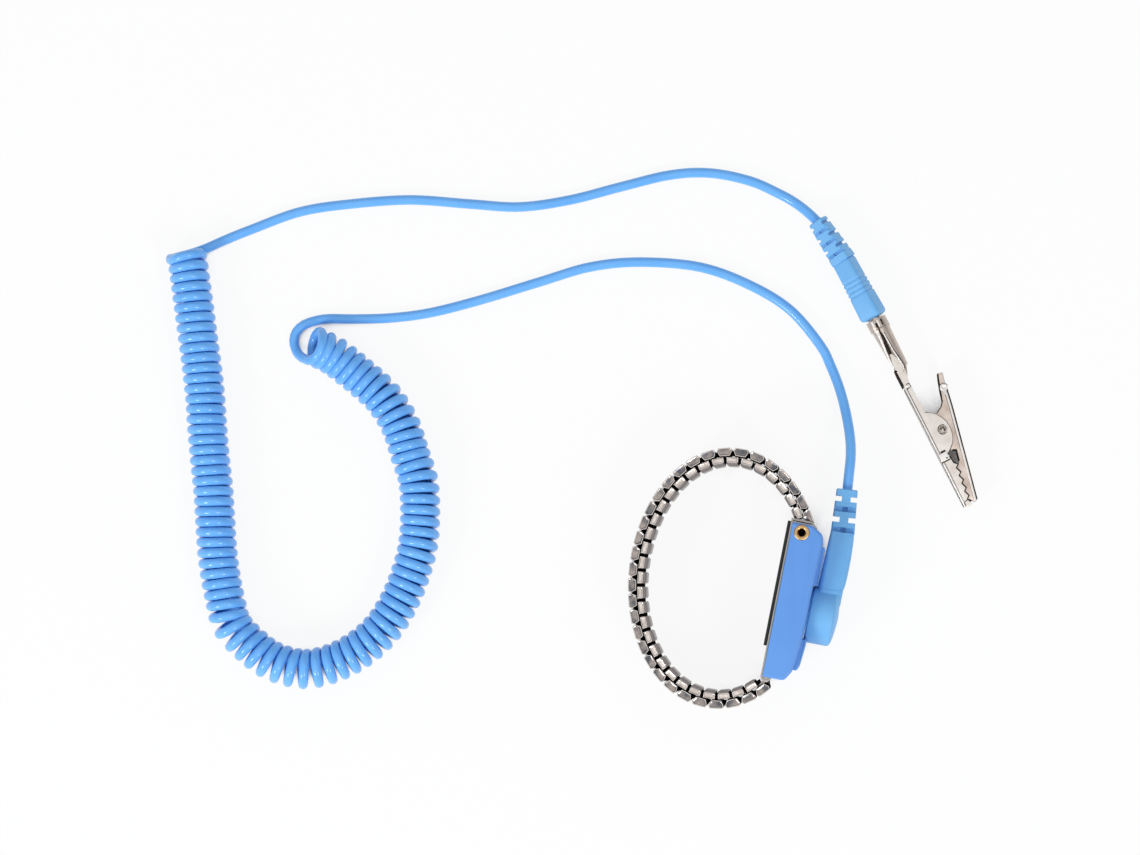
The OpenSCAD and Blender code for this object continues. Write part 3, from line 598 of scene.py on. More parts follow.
def softened(name, node, edge, segments=2, angle=40):
    """A pressed or turned piece from its node's solid, its faces made whole and its edges eased."""
    piece = added(name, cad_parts[node].data.copy())
    with reworked(piece.data) as form:
        bmesh.ops.remove_doubles(form, verts=form.verts, dist=2e-6)
        bmesh.ops.dissolve_limit(form, angle_limit=radians(1), verts=form.verts, edges=form.edges)
    return eased(piece, edge, segments, angle)


steel = pressed_steel()
rubber = black_rubber()
dressed(softened("steel_frame", "back_plate", 0.08), steel, "clasp_frame", "plate_steel", "back_plate")
dressed(softened("liner_pad", "plate_liner", 0.15, 3), rubber, "clasp_frame", "liner", "plate_liner")
dressed(softened("cross_pin", "end_pin", 0.1), steel, "clasp_frame", "plate_steel", "end_pin")

# ---- Expansion band ----
# Thirty-two links in two rows of bright sleeves, folded from stainless strip and tied edge to
# edge by staples. The last sleeve holds a hook that is curled round the end pin.
links = 32
band_w = 16.0
band_side = (cover_w - band_w) / 2
link_pitch = 3.61
row_h = 1.9
row_gap = 0.2
outer_knee = 0.64
inner_knee = 0.84
inner_slant = 0.7
leaf_inset = 0.8
band_start = Vector((-0.17, 3.32))
start_heading = 120.2
band_wrap = 294.5
ovality = 0.47
tight_heading = 181
end_pin_at = Vector((-1.7, -34.6))
hook_at = Vector((2.5, 0.95))
mitre_y = 3.0
crown_t = 0.3
crown_w = 0.46
crown_inset = 0.35
fixed_leg_x = 0.95
inner_leg_x = 0.85
sliding_leg_x = 0.2
leg_depth = row_gap / 2 + 0.42


def heading_vector(degrees):
    return Vector((cos(radians(degrees)), sin(radians(degrees))))


def turn_after(heading):
    """How far the band turns from one link to the next, more where the oval is tight."""
    bend = 1 + ovality * cos(radians(2 * (heading - tight_heading)))
    return band_wrap / (links - 1) * bend


def band_chain():
    """Place and heading of each outer sleeve in the housing's frame, closed on the end pin."""
    headings, places = [start_heading], [band_start.copy()]
    for _ in range(links - 1):
        turn = turn_after(headings[-1])
        places.append(places[-1] + link_pitch * heading_vector(headings[-1] + turn / 2))
        headings.append(headings[-1] + turn)
    hook = Matrix.Rotation(radians(headings[-1]), 2) @ hook_at
    error = end_pin_at - hook - places[-1]
    return [p + error * k / (links - 1) for k, p in enumerate(places)], headings


def sleeve(name, near, far, way):
    """A sleeve on edge: a flat side to the other row, a low crown away from it, dished ends, and
    a leaf that bridges the gap to the next sleeve, marked with the sides that face its neighbours
    and the other row for a near-black painted shade. An inner crown slants off at its ends."""
    outer = way < 0
    knee = row_h * (outer_knee if outer else inner_knee)
    corners = [(-near, 0, 0.08), (near, 0, 0.08), (far, knee, 0.15), (0.8 * far, row_h, 0.2),
               (-0.8 * far, row_h, 0.2), (-far, knee, 0.15)]

    def outline(depth, reach):
        moved = inset([Vector(c[:2]) for c in corners], depth)
        kept = [(p.x, p.y, max(c[2] - depth, 0.03)) for p, c in zip(moved, corners)]
        return [Vector((p.x, way * (p.y * reach + row_gap / 2))) for p in rounded(kept, 2)]

    flat = 1 if outer else inner_slant
    ends = [(0.6, 0.15, flat), (0.45, 0.12, flat), (0.3, 0.07, flat), (0.2, 0, flat), (0.06, 0, flat),
            (0, 0.06, flat), (0, 1.3, 1)]
    rings = [[(p.x, p.y, band_side + z) for p in outline(d, reach)] for d, z, reach in ends]
    rings += [[(p.x, p.y, band_side + band_w - z) for p in outline(d, reach)] for d, z, reach in ends[::-1]]
    piece = skin(name, rings, Matrix.Identity(4))
    strip = len(rings[0])
    own_faces = len(piece.data.polygons)
    blade = [(near - 0.1, 0.2), (link_pitch - near - 0.1, 0.3),
             (link_pitch - far - 0.03, 0.6 * row_h), (near, 0.6 * row_h)]
    blade = [(x, way * (y + row_gap / 2)) for x, y in blade]
    blade_ends = (band_side + leaf_inset, band_side + band_w - leaf_inset)
    blade_rings = [[(x, y, z) for x, y in blade] for z in blade_ends]
    leaf = skin("leaf", blade_rings, Matrix.Identity(4))
    with reworked(piece.data) as form:
        form.from_mesh(leaf.data)
    bpy.data.objects.remove(leaf)
    rim_strips = (3, len(rings) - 5)
    # Crevice faces, on the leaf and towards the neighbours and the other row, get a near-black painted shade.
    for part in ("crevice", "worn_side", "outer_row", "rim"):
        piece.data.attributes.new(part, "FLOAT", "FACE")
    for face in piece.data.polygons:
        beside = face.index >= own_faces or abs(face.normal.x) > 0.85 or face.normal.y * way < -0.8
        # The crowned flank is marked for a painted shade, and the rim strips for a painted highlight.
        for part, here in (
            ("crevice", beside), ("worn_side", face.normal.y * way > 0.5), ("outer_row", outer),
            ("rim", face.index // strip in rim_strips),
        ):
            piece.data.attributes[part].data[face.index].value = float(here)
    return piece


def sleeve_steel():
    """Bright stainless strip: streaky in the dished ends, with rims painted near white as a painted highlight
    and crowned flanks painted grey as a painted shade.
    """
    material, shader, place = finish(
        "sleeve_steel", "cfc8c4", 0.14, 1.0, Specular_Tint=(0.36, 0.34, 0.33, 1)
    )
    flank_shade, outer, rim = (
        place.add("ShaderNodeAttribute", {"attribute_name": name}, None, 2)
        for name in ("worn_side", "outer_row", "rim")
    )
    patches = grain(place, 2.2, 1.0).clamped(3.2, -1.1)
    warm = blended(patches, "ddd1c8", "fff6ee")
    cool = blended(patches, "6c7078", "c4bab4")
    tint = mixed(outer, warm, cool)
    # Rims get a painted highlight, flanks a painted shade.
    for mask, shade in ((rim, "efe9e4"), (flank_shade, "989190")):
        tint = mixed(mask, tint, colour(shade))
    tint.feed(shader, "Base Color")
    scuffs = grain(place, 0.7, 3.0)
    (0.14 + 0.14 * scuffs).feed(shader, "Roughness")
    (0.74 + 0.26 * outer).feed(shader, "Metallic")
    relief(scuffs * 0.1 + grain(place, 1.6, 0.0), 0.04).feed(shader, "Normal")
    return material


def painted_gap_shade():
    """The sides on which the sleeves face each other, and the leaves between them: a near-black painted shade
    for the deep gaps.
    """
    material, shader, place = finish("painted_gap_shade", "0c0b0b", 0.9, IOR=1.02)
    blended(grain(place, 1.2), "080707", "151312").feed(shader, "Base Color")
    return material


def shaded_staple():
    """Spring steel of the staples, painted near black as a painted shade down between the rows, with a random
    mottle.
    """
    material, shader, place = finish("shaded_staple", "3a3736", 0.42, 1.0)
    staple_mottle = grain(place, 0.9)
    blended(staple_mottle, "211f20", "57524f").feed(shader, "Base Color")
    (0.3 + 0.25 * staple_mottle).feed(shader, "Roughness")
    return material


def link_tree(outer, inner, bright, gap_shade, dark):
    """Builds a link: its two sleeves in place, and the staple crowns along both its edges."""
    tree = bpy.data.node_groups.new("band_link", "GeometryNodeTree")
    sockets = {}
    for name, kind in (
        ("Outer Place", "Vector"), ("Outer Heading", "Float"), ("Inner Place", "Vector"),
        ("Inner Heading", "Float"), ("Inner Present", "Bool"), ("Staple Start", "Vector"),
        ("Staple Middle Near", "Vector"), ("Staple Middle Far", "Vector"), ("Staple End", "Vector"),
    ):
        sockets[name] = tree.interface.new_socket(
            name=name, in_out="INPUT", socket_type=f"NodeSocket{kind}"
        ).identifier
    tree.interface.new_socket(name="Geometry", in_out="OUTPUT", socket_type="NodeSocketGeometry")
    given = tree.nodes.new("NodeGroupInput")
    result = tree.nodes.new("NodeGroupOutput")

    def asked(name):
        return Value(tree, given.outputs[name])

    start = asked("Outer Place")

    def made(kind, inputs=None, settings=None, output=0):
        return start.add(f"GeometryNode{kind}", settings, inputs, output)

    def if_inner(shape):
        """The shape, but nothing on the last link, which has no inner sleeve."""
        choice = {"Switch": asked("Inner Present"), "True": shape}
        return made("Switch", choice, {"input_type": "GEOMETRY"})

    parts = []
    for source, row in ((outer, "Outer"), (inner, "Inner")):
        shape = made("ObjectInfo", {"Object": source}, None, 4)
        spin = start.add("ShaderNodeCombineXYZ", None, {2: asked(f"{row} Heading")})
        place = asked(f"{row} Place")
        shape = made("Transform", {"Geometry": shape, "Translation": place, "Rotation": spin})
        parts.append(if_inner(shape) if row == "Inner" else shape)
    section = made("CurvePrimitiveQuadrilateral", {"Width": crown_w * MM, "Height": crown_t * MM})
    for first, last in (("Staple Start", "Staple Middle Near"), ("Staple Middle Far", "Staple End")):
        line = made("CurvePrimitiveLine", {"Start": asked(first), "End": asked(last)})
        bar = made("CurveToMesh", {"Curve": line, "Profile Curve": section, "Fill Caps": True})
        bar = if_inner(bar)
        for z in (band_side + crown_inset, band_side + band_w - crown_inset):
            moved = made("Transform", {"Geometry": bar, "Translation": (0, 0, z * MM)})
            parts.append(made("SetMaterial", {"Geometry": moved, "Material": dark}))
    sleeves = made("JoinGeometry")
    for part in (parts[1], parts[0]):
        part.feed(sleeves.socket.node, "Geometry")
    real = made("RealizeInstances", {"Geometry": sleeves})
    coated = made("SetMaterial", {"Geometry": real, "Material": bright})
    # Faces marked crevice take the near-black painted gap shade.
    facing = made("InputNamedAttribute", {"Name": "crevice"}, {"data_type": "FLOAT"})
    coated = made("SetMaterial", {"Geometry": coated, "Selection": facing, "Material": gap_shade})
    whole = made("JoinGeometry")
    for part in (coated, *parts[2:]):
        part.feed(whole.socket.node, "Geometry")
    whole.feed(result, "Geometry")
    return tree, sockets


def flat_point(place, heading, offset=(0, 0)):
    """A point on or beside a sleeve, given along and across it, in metres in the housing's frame."""
    spot = place + Matrix.Rotation(radians(heading), 2) @ Vector(offset)
    return (MM * spot.x, MM * spot.y, 0)


outer_sleeve = sleeve("outer_sleeve", 1.18, 1.82, -1)
inner_sleeve = sleeve("inner_sleeve", 1.38, 1.34, 1)
tree, sockets = link_tree(outer_sleeve, inner_sleeve, sleeve_steel(), painted_gap_shade(), shaded_staple())
places, headings = band_chain()
metres = in_housing.copy()
metres.translation *= MM
for k in range(links):
    last = k == links - 1
    place, heading = places[k], headings[k]
    following = places[k + 1] if not last else place
    mid_heading = heading + turn_after(heading) / 2
    middle = (place + following) / 2
    host = added(f"sleeves_{k + 1:02d}", bpy.data.meshes.new("host"))
    maker = host.modifiers.new("link", "NODES")
    maker.node_group = tree
    for name, value in (
        ("Outer Place", flat_point(place, heading)),
        ("Outer Heading", radians(heading)),
        ("Inner Place", flat_point(middle, mid_heading)),
        ("Inner Heading", radians(mid_heading)),
        ("Inner Present", not last),
        ("Staple Start", flat_point(place, heading, (fixed_leg_x, -leg_depth))),
        ("Staple Middle Near", flat_point(middle, mid_heading, (-inner_leg_x, leg_depth))),
        ("Staple Middle Far", flat_point(middle, mid_heading, (inner_leg_x, leg_depth))),
        ("Staple End", flat_point(following, headings[min(k + 1, links - 1)], (sliding_leg_x, -leg_depth))),
    ):
        maker[sockets[name]] = value
    mesh = baked(host).data
    if k == 0:
        with reworked(mesh) as form:
            bmesh.ops.bisect_plane(
                form, geom=[*form.verts, *form.edges, *form.faces], plane_co=(0, mitre_y * MM, 0),
                plane_no=(0, 1, 0), clear_inner=True,
            )
            bmesh.ops.holes_fill(form, edges=[e for e in form.edges if e.is_boundary])
    mesh.transform(metres)
    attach(host, f"band_{k + 1:02d}")
    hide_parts(f"band_link_{k + 1:02d}")
for pattern in (outer_sleeve, inner_sleeve):
    bpy.data.objects.remove(pattern)
dressed(softened("curled_hook", "end_hook", 0.08), steel, f"band_{links}", "plate_steel", "end_hook")

# ---- Snap plug ----
# A soft vinyl overmoulding in two shots: a round cap over the snap socket with a short neck,
# and a boot that runs on from the seam to a strain relief of alternating slots.
cap_base = 5.38
cap_r = 6.85
cap_h = 6.82
seam_y = -11.95
seam_bow = 0.75
seam_mid = 9
seam_half = 3.1
vinyl_edge = 0.12
bend_limit = 38
neck_back = 6.12
neck_half = 4.2
neck_face = 12.1
neck_round = 1.6
boot_face = 12.2
seat_r = 4.25
seat_depth = 3.97
relief_y = 1.9
relief_x = 9.33
relief_half = 2.8
relief_len = 10.3
relief_turn = radians(5)


def block_ring(x0, x1, half, radius, steps=6):
    """A rounded rectangle from x0 to x1 and half a width to each side, as an outline."""
    return rounded([(x0, -half, radius), (x1, -half, radius), (x1, half, radius), (x0, half, radius)], steps)


def along_y(outline, y):
    return [(p.x, y, p.y) for p in outline]


def on_seam(outline, past):
    """The outline laid on the bowed seam of the two shots, or that far past it."""
    bows = [seam_bow * ((p.x - seam_mid) / seam_half) ** 2 for p in outline]
    return [(p.x, seam_y + past + bow, p.y) for p, bow in zip(outline, bows)]


def plug_vinyl():
    """Moulded sky blue vinyl, softer and duller than the cord's, with a fine spark-eroded grain."""
    material, shader, place = finish("plug_vinyl", "6db2ea", 0.46, IOR=1.5)
    clouds = grain(place, 7)
    blended(clouds, "66abe4", "77b9ee").feed(shader, "Base Color")
    (0.38 + 0.16 * clouds).feed(shader, "Roughness")
    relief(grain(place, 0.3, 2.0), 0.006).feed(shader, "Normal")
    return material


def strain_relief(name, length, widths, collar, cuts, pitch, cut_w, core_w, place):
    """A tapered block along Y, slotted from two sides in turn: right down to a square core from
    the sides, and from above and below to a shelf with a pocket in its middle."""
    ends = [(-0.3, widths[0]), (0.25, widths[0])]
    ends += [(length - 0.25, widths[1]), (length, widths[1] - 0.4)]
    rings = [along_y(block_ring(-w / 2, w / 2, w / 2, 0.6), y) for y, w in ends]
    piece = skin(name, rings, place)
    past, pocket_half, shelf_share = 6, 0.6, 0.22
    for k in range(cuts):
        y = length - collar - cut_w - k * pitch
        for side in (-1, 1):
            core, out = side * core_w / 2, side * past
            shelf = core + side * shelf_share * (widths[1] - core_w)
            slot = [(core, -past), (out, -past), (out, past), (core, past)]
            if k % 2:
                slot = [(-past, shelf), (-pocket_half, shelf), (-pocket_half, core), (pocket_half, core),
                        (pocket_half, shelf), (past, shelf), (past, out), (-past, out)]
            joined(piece, skin("slot", [[(x, at, z) for x, z in slot] for at in (y, y + cut_w)], place))
    return piece


vinyl = plug_vinyl()
cap_profile = [
    (0, -0.3), (cap_r - 0.55, -0.3), (cap_r - 0.5, 0), (cap_r - 0.3, 0.02), (cap_r - 0.1, 0.12),
    (cap_r, 0.42), (cap_r, 5.17), (cap_r - 0.07, 5.47), (cap_r - 0.25, 5.72), (cap_r - 0.55, 5.92),
    (5.7, 6.15), (4.4, 6.42), (2.2, 6.68), (0, cap_h),
]
on_cap = on_snap @ Matrix.Translation((0, 0, cap_base))
cap = lathe("cap", [(max(r, 0.01), h) for r, h in cap_profile], on_cap, 96)
neck_block = block_ring(neck_back, neck_face, neck_half, neck_round)
neck = [along_y(neck_block, stud_y + 3), on_seam(neck_block, -0.02)]
joined(cap, skin("neck", neck, in_middle), "UNION")
joined(cap, lathe("socket_seat", [(seat_r, -1), (seat_r, seat_depth)], on_cap, 48))
eased(cap, vinyl_edge, angle=bend_limit)
dressed(cap, vinyl, "cord_set", "plug_plastic", "plug_cap")

boot_start = block_ring(neck_back, boot_face, neck_half + 0.04, neck_round)
boot_steps = ((0.4, -0.6), (0.4, 0), (0, 0.03))
boot_rings = [on_seam(inset(boot_start, depth), past) for depth, past in boot_steps]
for share, swell in ((0.12, 0.14), (0.3, 0.28), (0.6, 0.3), (0.9, 0.12), (1, -0.1)):
    x0 = neck_back + (relief_x - relief_half - neck_back) * share
    x1 = boot_face + (relief_x + relief_half - boot_face) * share + swell
    half = neck_half + (relief_half - neck_half) * share + swell / 2
    block = block_ring(x0, x1, half, neck_round - share)
    boot_rings.append(along_y(block, seam_y + (relief_y - seam_y) * share))
boot = skin("boot", boot_rings, in_middle)
relief_at = Matrix.Translation((relief_x, relief_y, mid_z))
at_relief = in_housing @ relief_at @ Matrix.Rotation(relief_turn, 4, "Z")
relief_ends = (2 * relief_half, 5.0)
plug_relief = strain_relief("relief", relief_len, relief_ends, 1.7, 4, 2.45, 1.25, 2.1, at_relief)
joined(boot, plug_relief, "UNION")
eased(boot, vinyl_edge, angle=bend_limit)
dressed(boot, vinyl, "cord_set", "plug_plastic", "plug_boot")

# ---- Banana plug ----
# A slim vinyl handle of rounded square section, ribbed for grip, over a turned brass pin with
# nickel plating. A slotted boot guards the cord, and a lantern spring fills the clip's barrel.
clip_at = (35.3, 61.2, 3.5)
clip_lean = -62
in_clip = Matrix.Translation(clip_at) @ Matrix.Rotation(radians(clip_lean), 4, "Z")
on_barrel = in_clip @ Matrix.Rotation(pi / 2, 4, "Y")
handle_gap = 0.54
handle_len = 15.7
handle_roll = radians(-25)
groove_start = 5.3
groove_pitch = 1.2
boot_turn = radians(95)
pin_r = 1.2
pin_depth = 6


def squared(angle):
    """How far a softly squared section reaches at an angle, as a share of its corner radius."""
    a = abs(cos(angle + handle_roll)) ** 6 + abs(sin(angle + handle_roll)) ** 6
    return 0.89 * a ** (-1 / 6)


handle_profile = [(0.02, 0), (1.9, 0), (2.35, 0.08), (2.6, 0.35), (2.72, 0.9), (2.76, 4.9)]
for k in range(4):
    groove = groove_start + groove_pitch * k
    reach = 2.82 + 0.03 * k
    handle_profile += [
        (reach, groove), (reach - 0.06, groove + 0.12), (reach - 0.22, groove + 0.26),
        (reach - 0.22, groove + 0.4), (reach - 0.05, groove + 0.54), (reach + 0.02, groove + 0.66),
        (reach + 0.04, groove + 0.95),
    ]
handle_profile += [(3.0, 11.2), (3.1, 14.7), (3.0, 15.2), (2.7, 15.55), (2.2, handle_len), (0.02, handle_len)]
on_handle = on_barrel @ Matrix.Translation((0, 0, -handle_gap - handle_len))
handle = lathe("handle", handle_profile, on_handle, 96, squared)
handle.data.set_sharp_from_angle(angle=radians(60))
pin_bore = [(pin_r, handle_len - pin_depth), (pin_r, handle_len + 1)]
joined(handle, lathe("pin_bore", pin_bore, on_handle, 32))
dressed(handle, vinyl, "cord_set", "plug_plastic", "banana_handle")

at_boot = (
    in_clip @ Matrix.Translation((-handle_gap - handle_len, 0, 0)) @ Matrix.Rotation(boot_turn, 4, "Z")
    @ Matrix.Rotation(handle_roll, 4, "Y")
)
banana_boot = strain_relief("banana_relief", 11.2, (5.0, 3.9), 0.9, 6, 1.6, 0.75, 2.6, at_boot)
eased(banana_boot, vinyl_edge, angle=bend_limit)
dressed(banana_boot, vinyl, "cord_set", "plug_plastic", "banana_boot")


def nickel_plate():
    """Bright nickel over brass or steel, a little warm, with cloudy handling haze."""
    material, shader, place = finish("nickel_plate", "dcd2c8", 0.22, 1.0)
    haze = grain(place, 2.6)
    blended(haze, "d2c5bb", "eee6de").feed(shader, "Base Color")
    (0.12 + 0.26 * haze).feed(shader, "Roughness")
    relief(grain(place, 0.6), 0.006).feed(shader, "Normal")
    return material


def spring_bronze():
    """Plated spring bronze, rubbed dull where it slides in the barrel."""
    material, shader, place = finish("spring_bronze", "b9a998", 0.5, 1.0)
    blended(grain(place, 0.9), "9c8d7e", "cbbdae").feed(shader, "Base Color")
    return material


nickel = nickel_plate()
pin_profile = [
    (0.02, -pin_depth - handle_gap), (1.15, -pin_depth - handle_gap), (pin_r, -handle_gap),
    (1.85, -handle_gap), (1.9, -handle_gap + 0.1), (1.9, 1.1), (1.8, 1.2), (pin_r, 1.2),
    (pin_r, 11), (1.45, 11.1), (1.42, 11.35), (1.1, 12), (0.02, 12),
]
pin = lathe("plug_pin", pin_profile, on_barrel, 48)
dressed(pin, nickel, "cord_set", "nickel", "banana_pin")
cage = softened("cage_spring", "lantern_spring", 0.03, 1)
dressed(cage, spring_bronze(), "clip_ring", "brass", "lantern_spring")

# ---- Alligator clip ----
# Two stamped and folded jaws of nickel-plated steel on one peened rivet, with a torsion spring
# between their sides. The fixed jaw is rolled into a barrel at the back for the banana plug.


def stamped_nickel(name, dull, bright):
    """Barrel-plated sheet steel: satin on the flats, with stains, scuffs and a warm cast."""
    material, shader, place = finish(name, bright, 0.28, 0.78, IOR=1.8)
    stains = grain(place, 3.5, 4.0).clamped(2.2, -0.6)
    blended(stains, dull, bright).feed(shader, "Base Color")
    (0.2 + 0.16 * stains).feed(shader, "Roughness")
    relief(grain(place, 5, 0.0) + 0.06 * grain(place, 0.9, 2.0), 0.1).feed(shader, "Normal")
    return material


def painted_edge_shade():
    """A near-black painted shade for the jaws' edges, folds, seams and gaps, where shadow and dark reflection
    fall.
    """
    material, shader, place = finish(
        "painted_edge_shade", "2b2724", 0.5, 0.6, Specular_Tint=(0.3, 0.3, 0.3, 1)
    )
    blended(grain(place, 0.8), "1c1917", "453e39").feed(shader, "Base Color")
    return material


def painted_highlight_nickel():
    """A near-white painted highlight for the folds, lips, ridges and high spots where the clip catches the
    light.
    """
    material, shader, place = finish("painted_highlight_nickel", "f6f1ec", 0.3, 0.25, IOR=1.8)
    blended(grain(place, 1.4), "e6ded8", "fffdfa").feed(shader, "Base Color")
    return material


def rolled_sheet():
    """The barrel's sheet, drawn through a die: brushed along its length and a little duller."""
    material, shader, place = finish("rolled_sheet", "cdbfb4", 0.38, 0.55, IOR=1.8)
    blended(grain(place, 3, 3.0), "b3a499", "e0d3c8").feed(shader, "Base Color")
    (0.3 + 0.14 * grain(place, 0.9)).feed(shader, "Roughness")
    return material


def stamped(name, node, material, body, *more):
    """A jaw from its node's solid, its cut edges eased and painted dark as a painted shade. One finish more
    is its barrel's.
    """
    piece = softened(name, node, 0.16, 3, 30)
    dressed(piece, material, body, "nickel", node, edge=edge_shade)
    for coat in more:
        piece.data.materials.append(coat)
    to_clip = in_clip.inverted()
    for face in piece.data.polygons:
        along = (to_clip @ (face.center / MM)).x
        edge = 0.08 < abs(face.normal.z) < 0.9
        face.material_index = 2 if more and along < barrel_end else int(edge)


def bead(name, material, body, radius, *route):
    """A fold, lip or cut edge drawn as a line of painted shade or painted highlight, along one side and then
    the other.
    """
    for side in (-1, 1):
        path = [in_clip @ Vector((x, y, side * z)) for x, y, z in route]
        line = wire(f"{name}_{'low' if side < 0 else 'high'}", path, radius, 10)
        dressed(line, material, body, "nickel")


def arc(centre, radius, angles, z):
    """Points round a centre (x, y) in the clip's frame, at those angles in degrees."""
    x, y = centre
    return [(x + radius * cos(a), y + radius * sin(a), z) for a in map(radians, angles)]


tip_half = 1.75
barrel_end = 14.2
# The dark wires along folds, edges, seams and rims, and the jaws' eased edges, are painted shade and painted
# dark reflection.
edge_shade = painted_edge_shade()
# The light wires, the jaw stop and the thumb dimple are coated in a near-white painted highlight.
highlight = painted_highlight_nickel()
fixed_sheet = stamped_nickel("fixed_sheet", "e9e0d8", "fffaf5")
# The moving jaw's sheet is a darker copy of the fixed jaw's: a painted shade for the jaw that lies lower.
shaded_moving_sheet = stamped_nickel("shaded_moving_sheet", "cbbaaf", "f8e9de")
stamped("fixed_jaw", "clip_jaw_fixed", fixed_sheet, "clip_fixed", rolled_sheet())
stamped("moving_jaw", "clip_jaw_moving", shaded_moving_sheet, "clip_moving")
fixed_fold = [(18, -1.95, 2.1), (25.5, -2.13, 3.2), (34.5, -2.35, 3.2), (49.2, -2.7, tip_half)]
moving_fold = [
    (22.4, 7.02, 1.94), (25, 6.48, 2.68), (26.6, 6.15, 2.7), (33.5, 4.52, 2.7), (38.5, 3.34, 2.36),
    (48.9, 0.88, tip_half),
]
for name, coat, radius, body, fold, inward, sunk in (
    ("fixed_fold", edge_shade, 0.1, "clip_fixed", fixed_fold, 0.02, 0.04),
    ("fixed_shine", highlight, 0.3, "clip_fixed", fixed_fold, 0.3, 0.18),
    ("fixed_crease", edge_shade, 0.06, "clip_fixed", fixed_fold, 0.62, 0.0),
    ("moving_fold", edge_shade, 0.17, "clip_moving", moving_fold, 0.0, 0.06),
    ("moving_shine", highlight, 0.34, "clip_moving", moving_fold, -0.4, 0.2),
    ("moving_crease", edge_shade, 0.05, "clip_moving", moving_fold, -0.74, 0.0),
):
    bead(name, coat, body, radius, *[(x + 0.2 * min(inward, 0), y + inward, z - sunk) for x, y, z in fold])
tooth_pitch = 1.95
tooth_slope = radians(-8.7)
tooth_x = 39.5
tooth_y = 0.75
ear_at = (30.7, -3)
ear_r = 6.25
jaw_half = 3.2
taper_lead, taper_len = 5, 15
tooth_line = []
for k in range(5):
    for along, across in ((k, 0.07), (k + 0.36, -0.58)):
        x, y = Matrix.Rotation(tooth_slope, 2) @ Vector((along * tooth_pitch, across))
        half = jaw_half + (tip_half - jaw_half) * (taper_lead + x) / taper_len
        tooth_line.append((tooth_x + x, tooth_y + y, half - 0.06))
bead("tooth_edge", edge_shade, "clip_fixed", 0.19,
     (36.9, 0.0, 2.9), (38.7, 0.12, 2.73), *tooth_line, (48.6, -0.42, 1.78))
bead("tip_edge", edge_shade, "clip_fixed", 0.13,
     (49.3, -2.4, 1.7), (48.1, -2.0, 1.84), (48.0, -1.1, 1.84), (48.7, -0.7, 1.78))
bead("ear_edge", edge_shade, "clip_fixed", 0.1, *arc(ear_at, ear_r, range(24, 155, 13), 3.1))
bead("lever_shine", highlight, "clip_moving", 0.5, (22.7, 6.45, 1.78), (23.6, 6.2, 2.05))
bead("window_edge", edge_shade, "clip_moving", 0.15, (35.9, 1.3, 2.55), (36.3, 2.15, 2.5), (38.9, 1.5, 2.33))
dimple_at = (21.9, 6.5)
dimple_profile = [(0.02, -0.3), (0.95, -0.3), (0.95, 0.12), (0.8, 0.26), (0.6, 0.3), (0.35, 0.14),
                  (0.02, 0.06)]
dimple = lathe("thumb_dimple", dimple_profile, in_clip @ Matrix.Translation((*dimple_at, 1.92)), 32)
dressed(dimple, highlight, "clip_moving", "nickel")
bead("dimple_edge", edge_shade, "clip_moving", 0.1, *arc(dimple_at, 0.98, range(90, 300, 15), 1.95))
bead("lever_edge", edge_shade, "clip_moving", 0.2, (18.35, 6.85, 1.5), (19.8, 6.25, 1.62), (22.5, 5.35, 1.9),
     (24.7, 4.75, 2.4), (25.7, 3.9, 2.5), (26.5, 2.4, 2.5))
stop_outline = rounded([(35.5, -2.35, 0.3), (37.4, -2.35, 0.3), (37.4, -0.25, 0.3), (35.5, -0.25, 0.3)], 3)
stop = plate("jaw_stop", stop_outline, 3.1, 3.5, 0.15, in_clip)
dressed(stop, highlight, "clip_fixed", "nickel")
bead("stop_edge", edge_shade, "clip_fixed", 0.2, (37.5, -2.5, 2.95), (37.52, -0.2, 2.95))
bead("stop_back", edge_shade, "clip_fixed", 0.26, (35.25, -1.5, 3.12), (35.3, -0.3, 3.12))
bead("stop_dent", edge_shade, "clip_fixed", 0.2, (36.9, -1.0, 3.38), (37.1, -0.6, 3.38))
bead("neck_ridge", highlight, "clip_fixed", 0.2, (17.55, -1.6, 2.28), (17.7, -0.45, 2.28))
bead("neck_edge", edge_shade, "clip_fixed", 0.17,
     (17.15, -1.0, 2.0), (17.2, -0.3, 2.0), (18.0, -0.25, 2.0), (18.2, -1.3, 2.05))
bead("neck_fold", edge_shade, "clip_fixed", 0.3, (13.0, -1.72, 1.35), (14.4, -1.84, 1.78), (17.6, -1.88, 2.02))
barrel_mouth_r = 2.25
barrel_neck_r = 1.8
barrel_cone = 12.9
lip_wide = [(2.3, -1.1), (4.5, -1.2), (7.3, -1.4), (10, -1.6), (12.4, -1.66)]
seam_gap = [(2.3, -0.42), (4.5, -0.55), (7.1, -0.68), (9, -0.85)]
lip_thin = [(2.3, 0.1), (5.5, 0.06), (8.5, 0.14), (11, 0.42), (12.8, 0.55), (13.6, 0.3)]


def on_barrel_skin(points, sunk, across=0.0):
    """Points over the barrel's own cone, that far into its sheet and that far to one side."""
    placed = []
    for x, y in points:
        radius = barrel_mouth_r + (barrel_neck_r - barrel_mouth_r) * min(x / barrel_cone, 1)
        placed.append((x, y + across, sqrt(radius**2 - y**2) - sunk))
    return placed


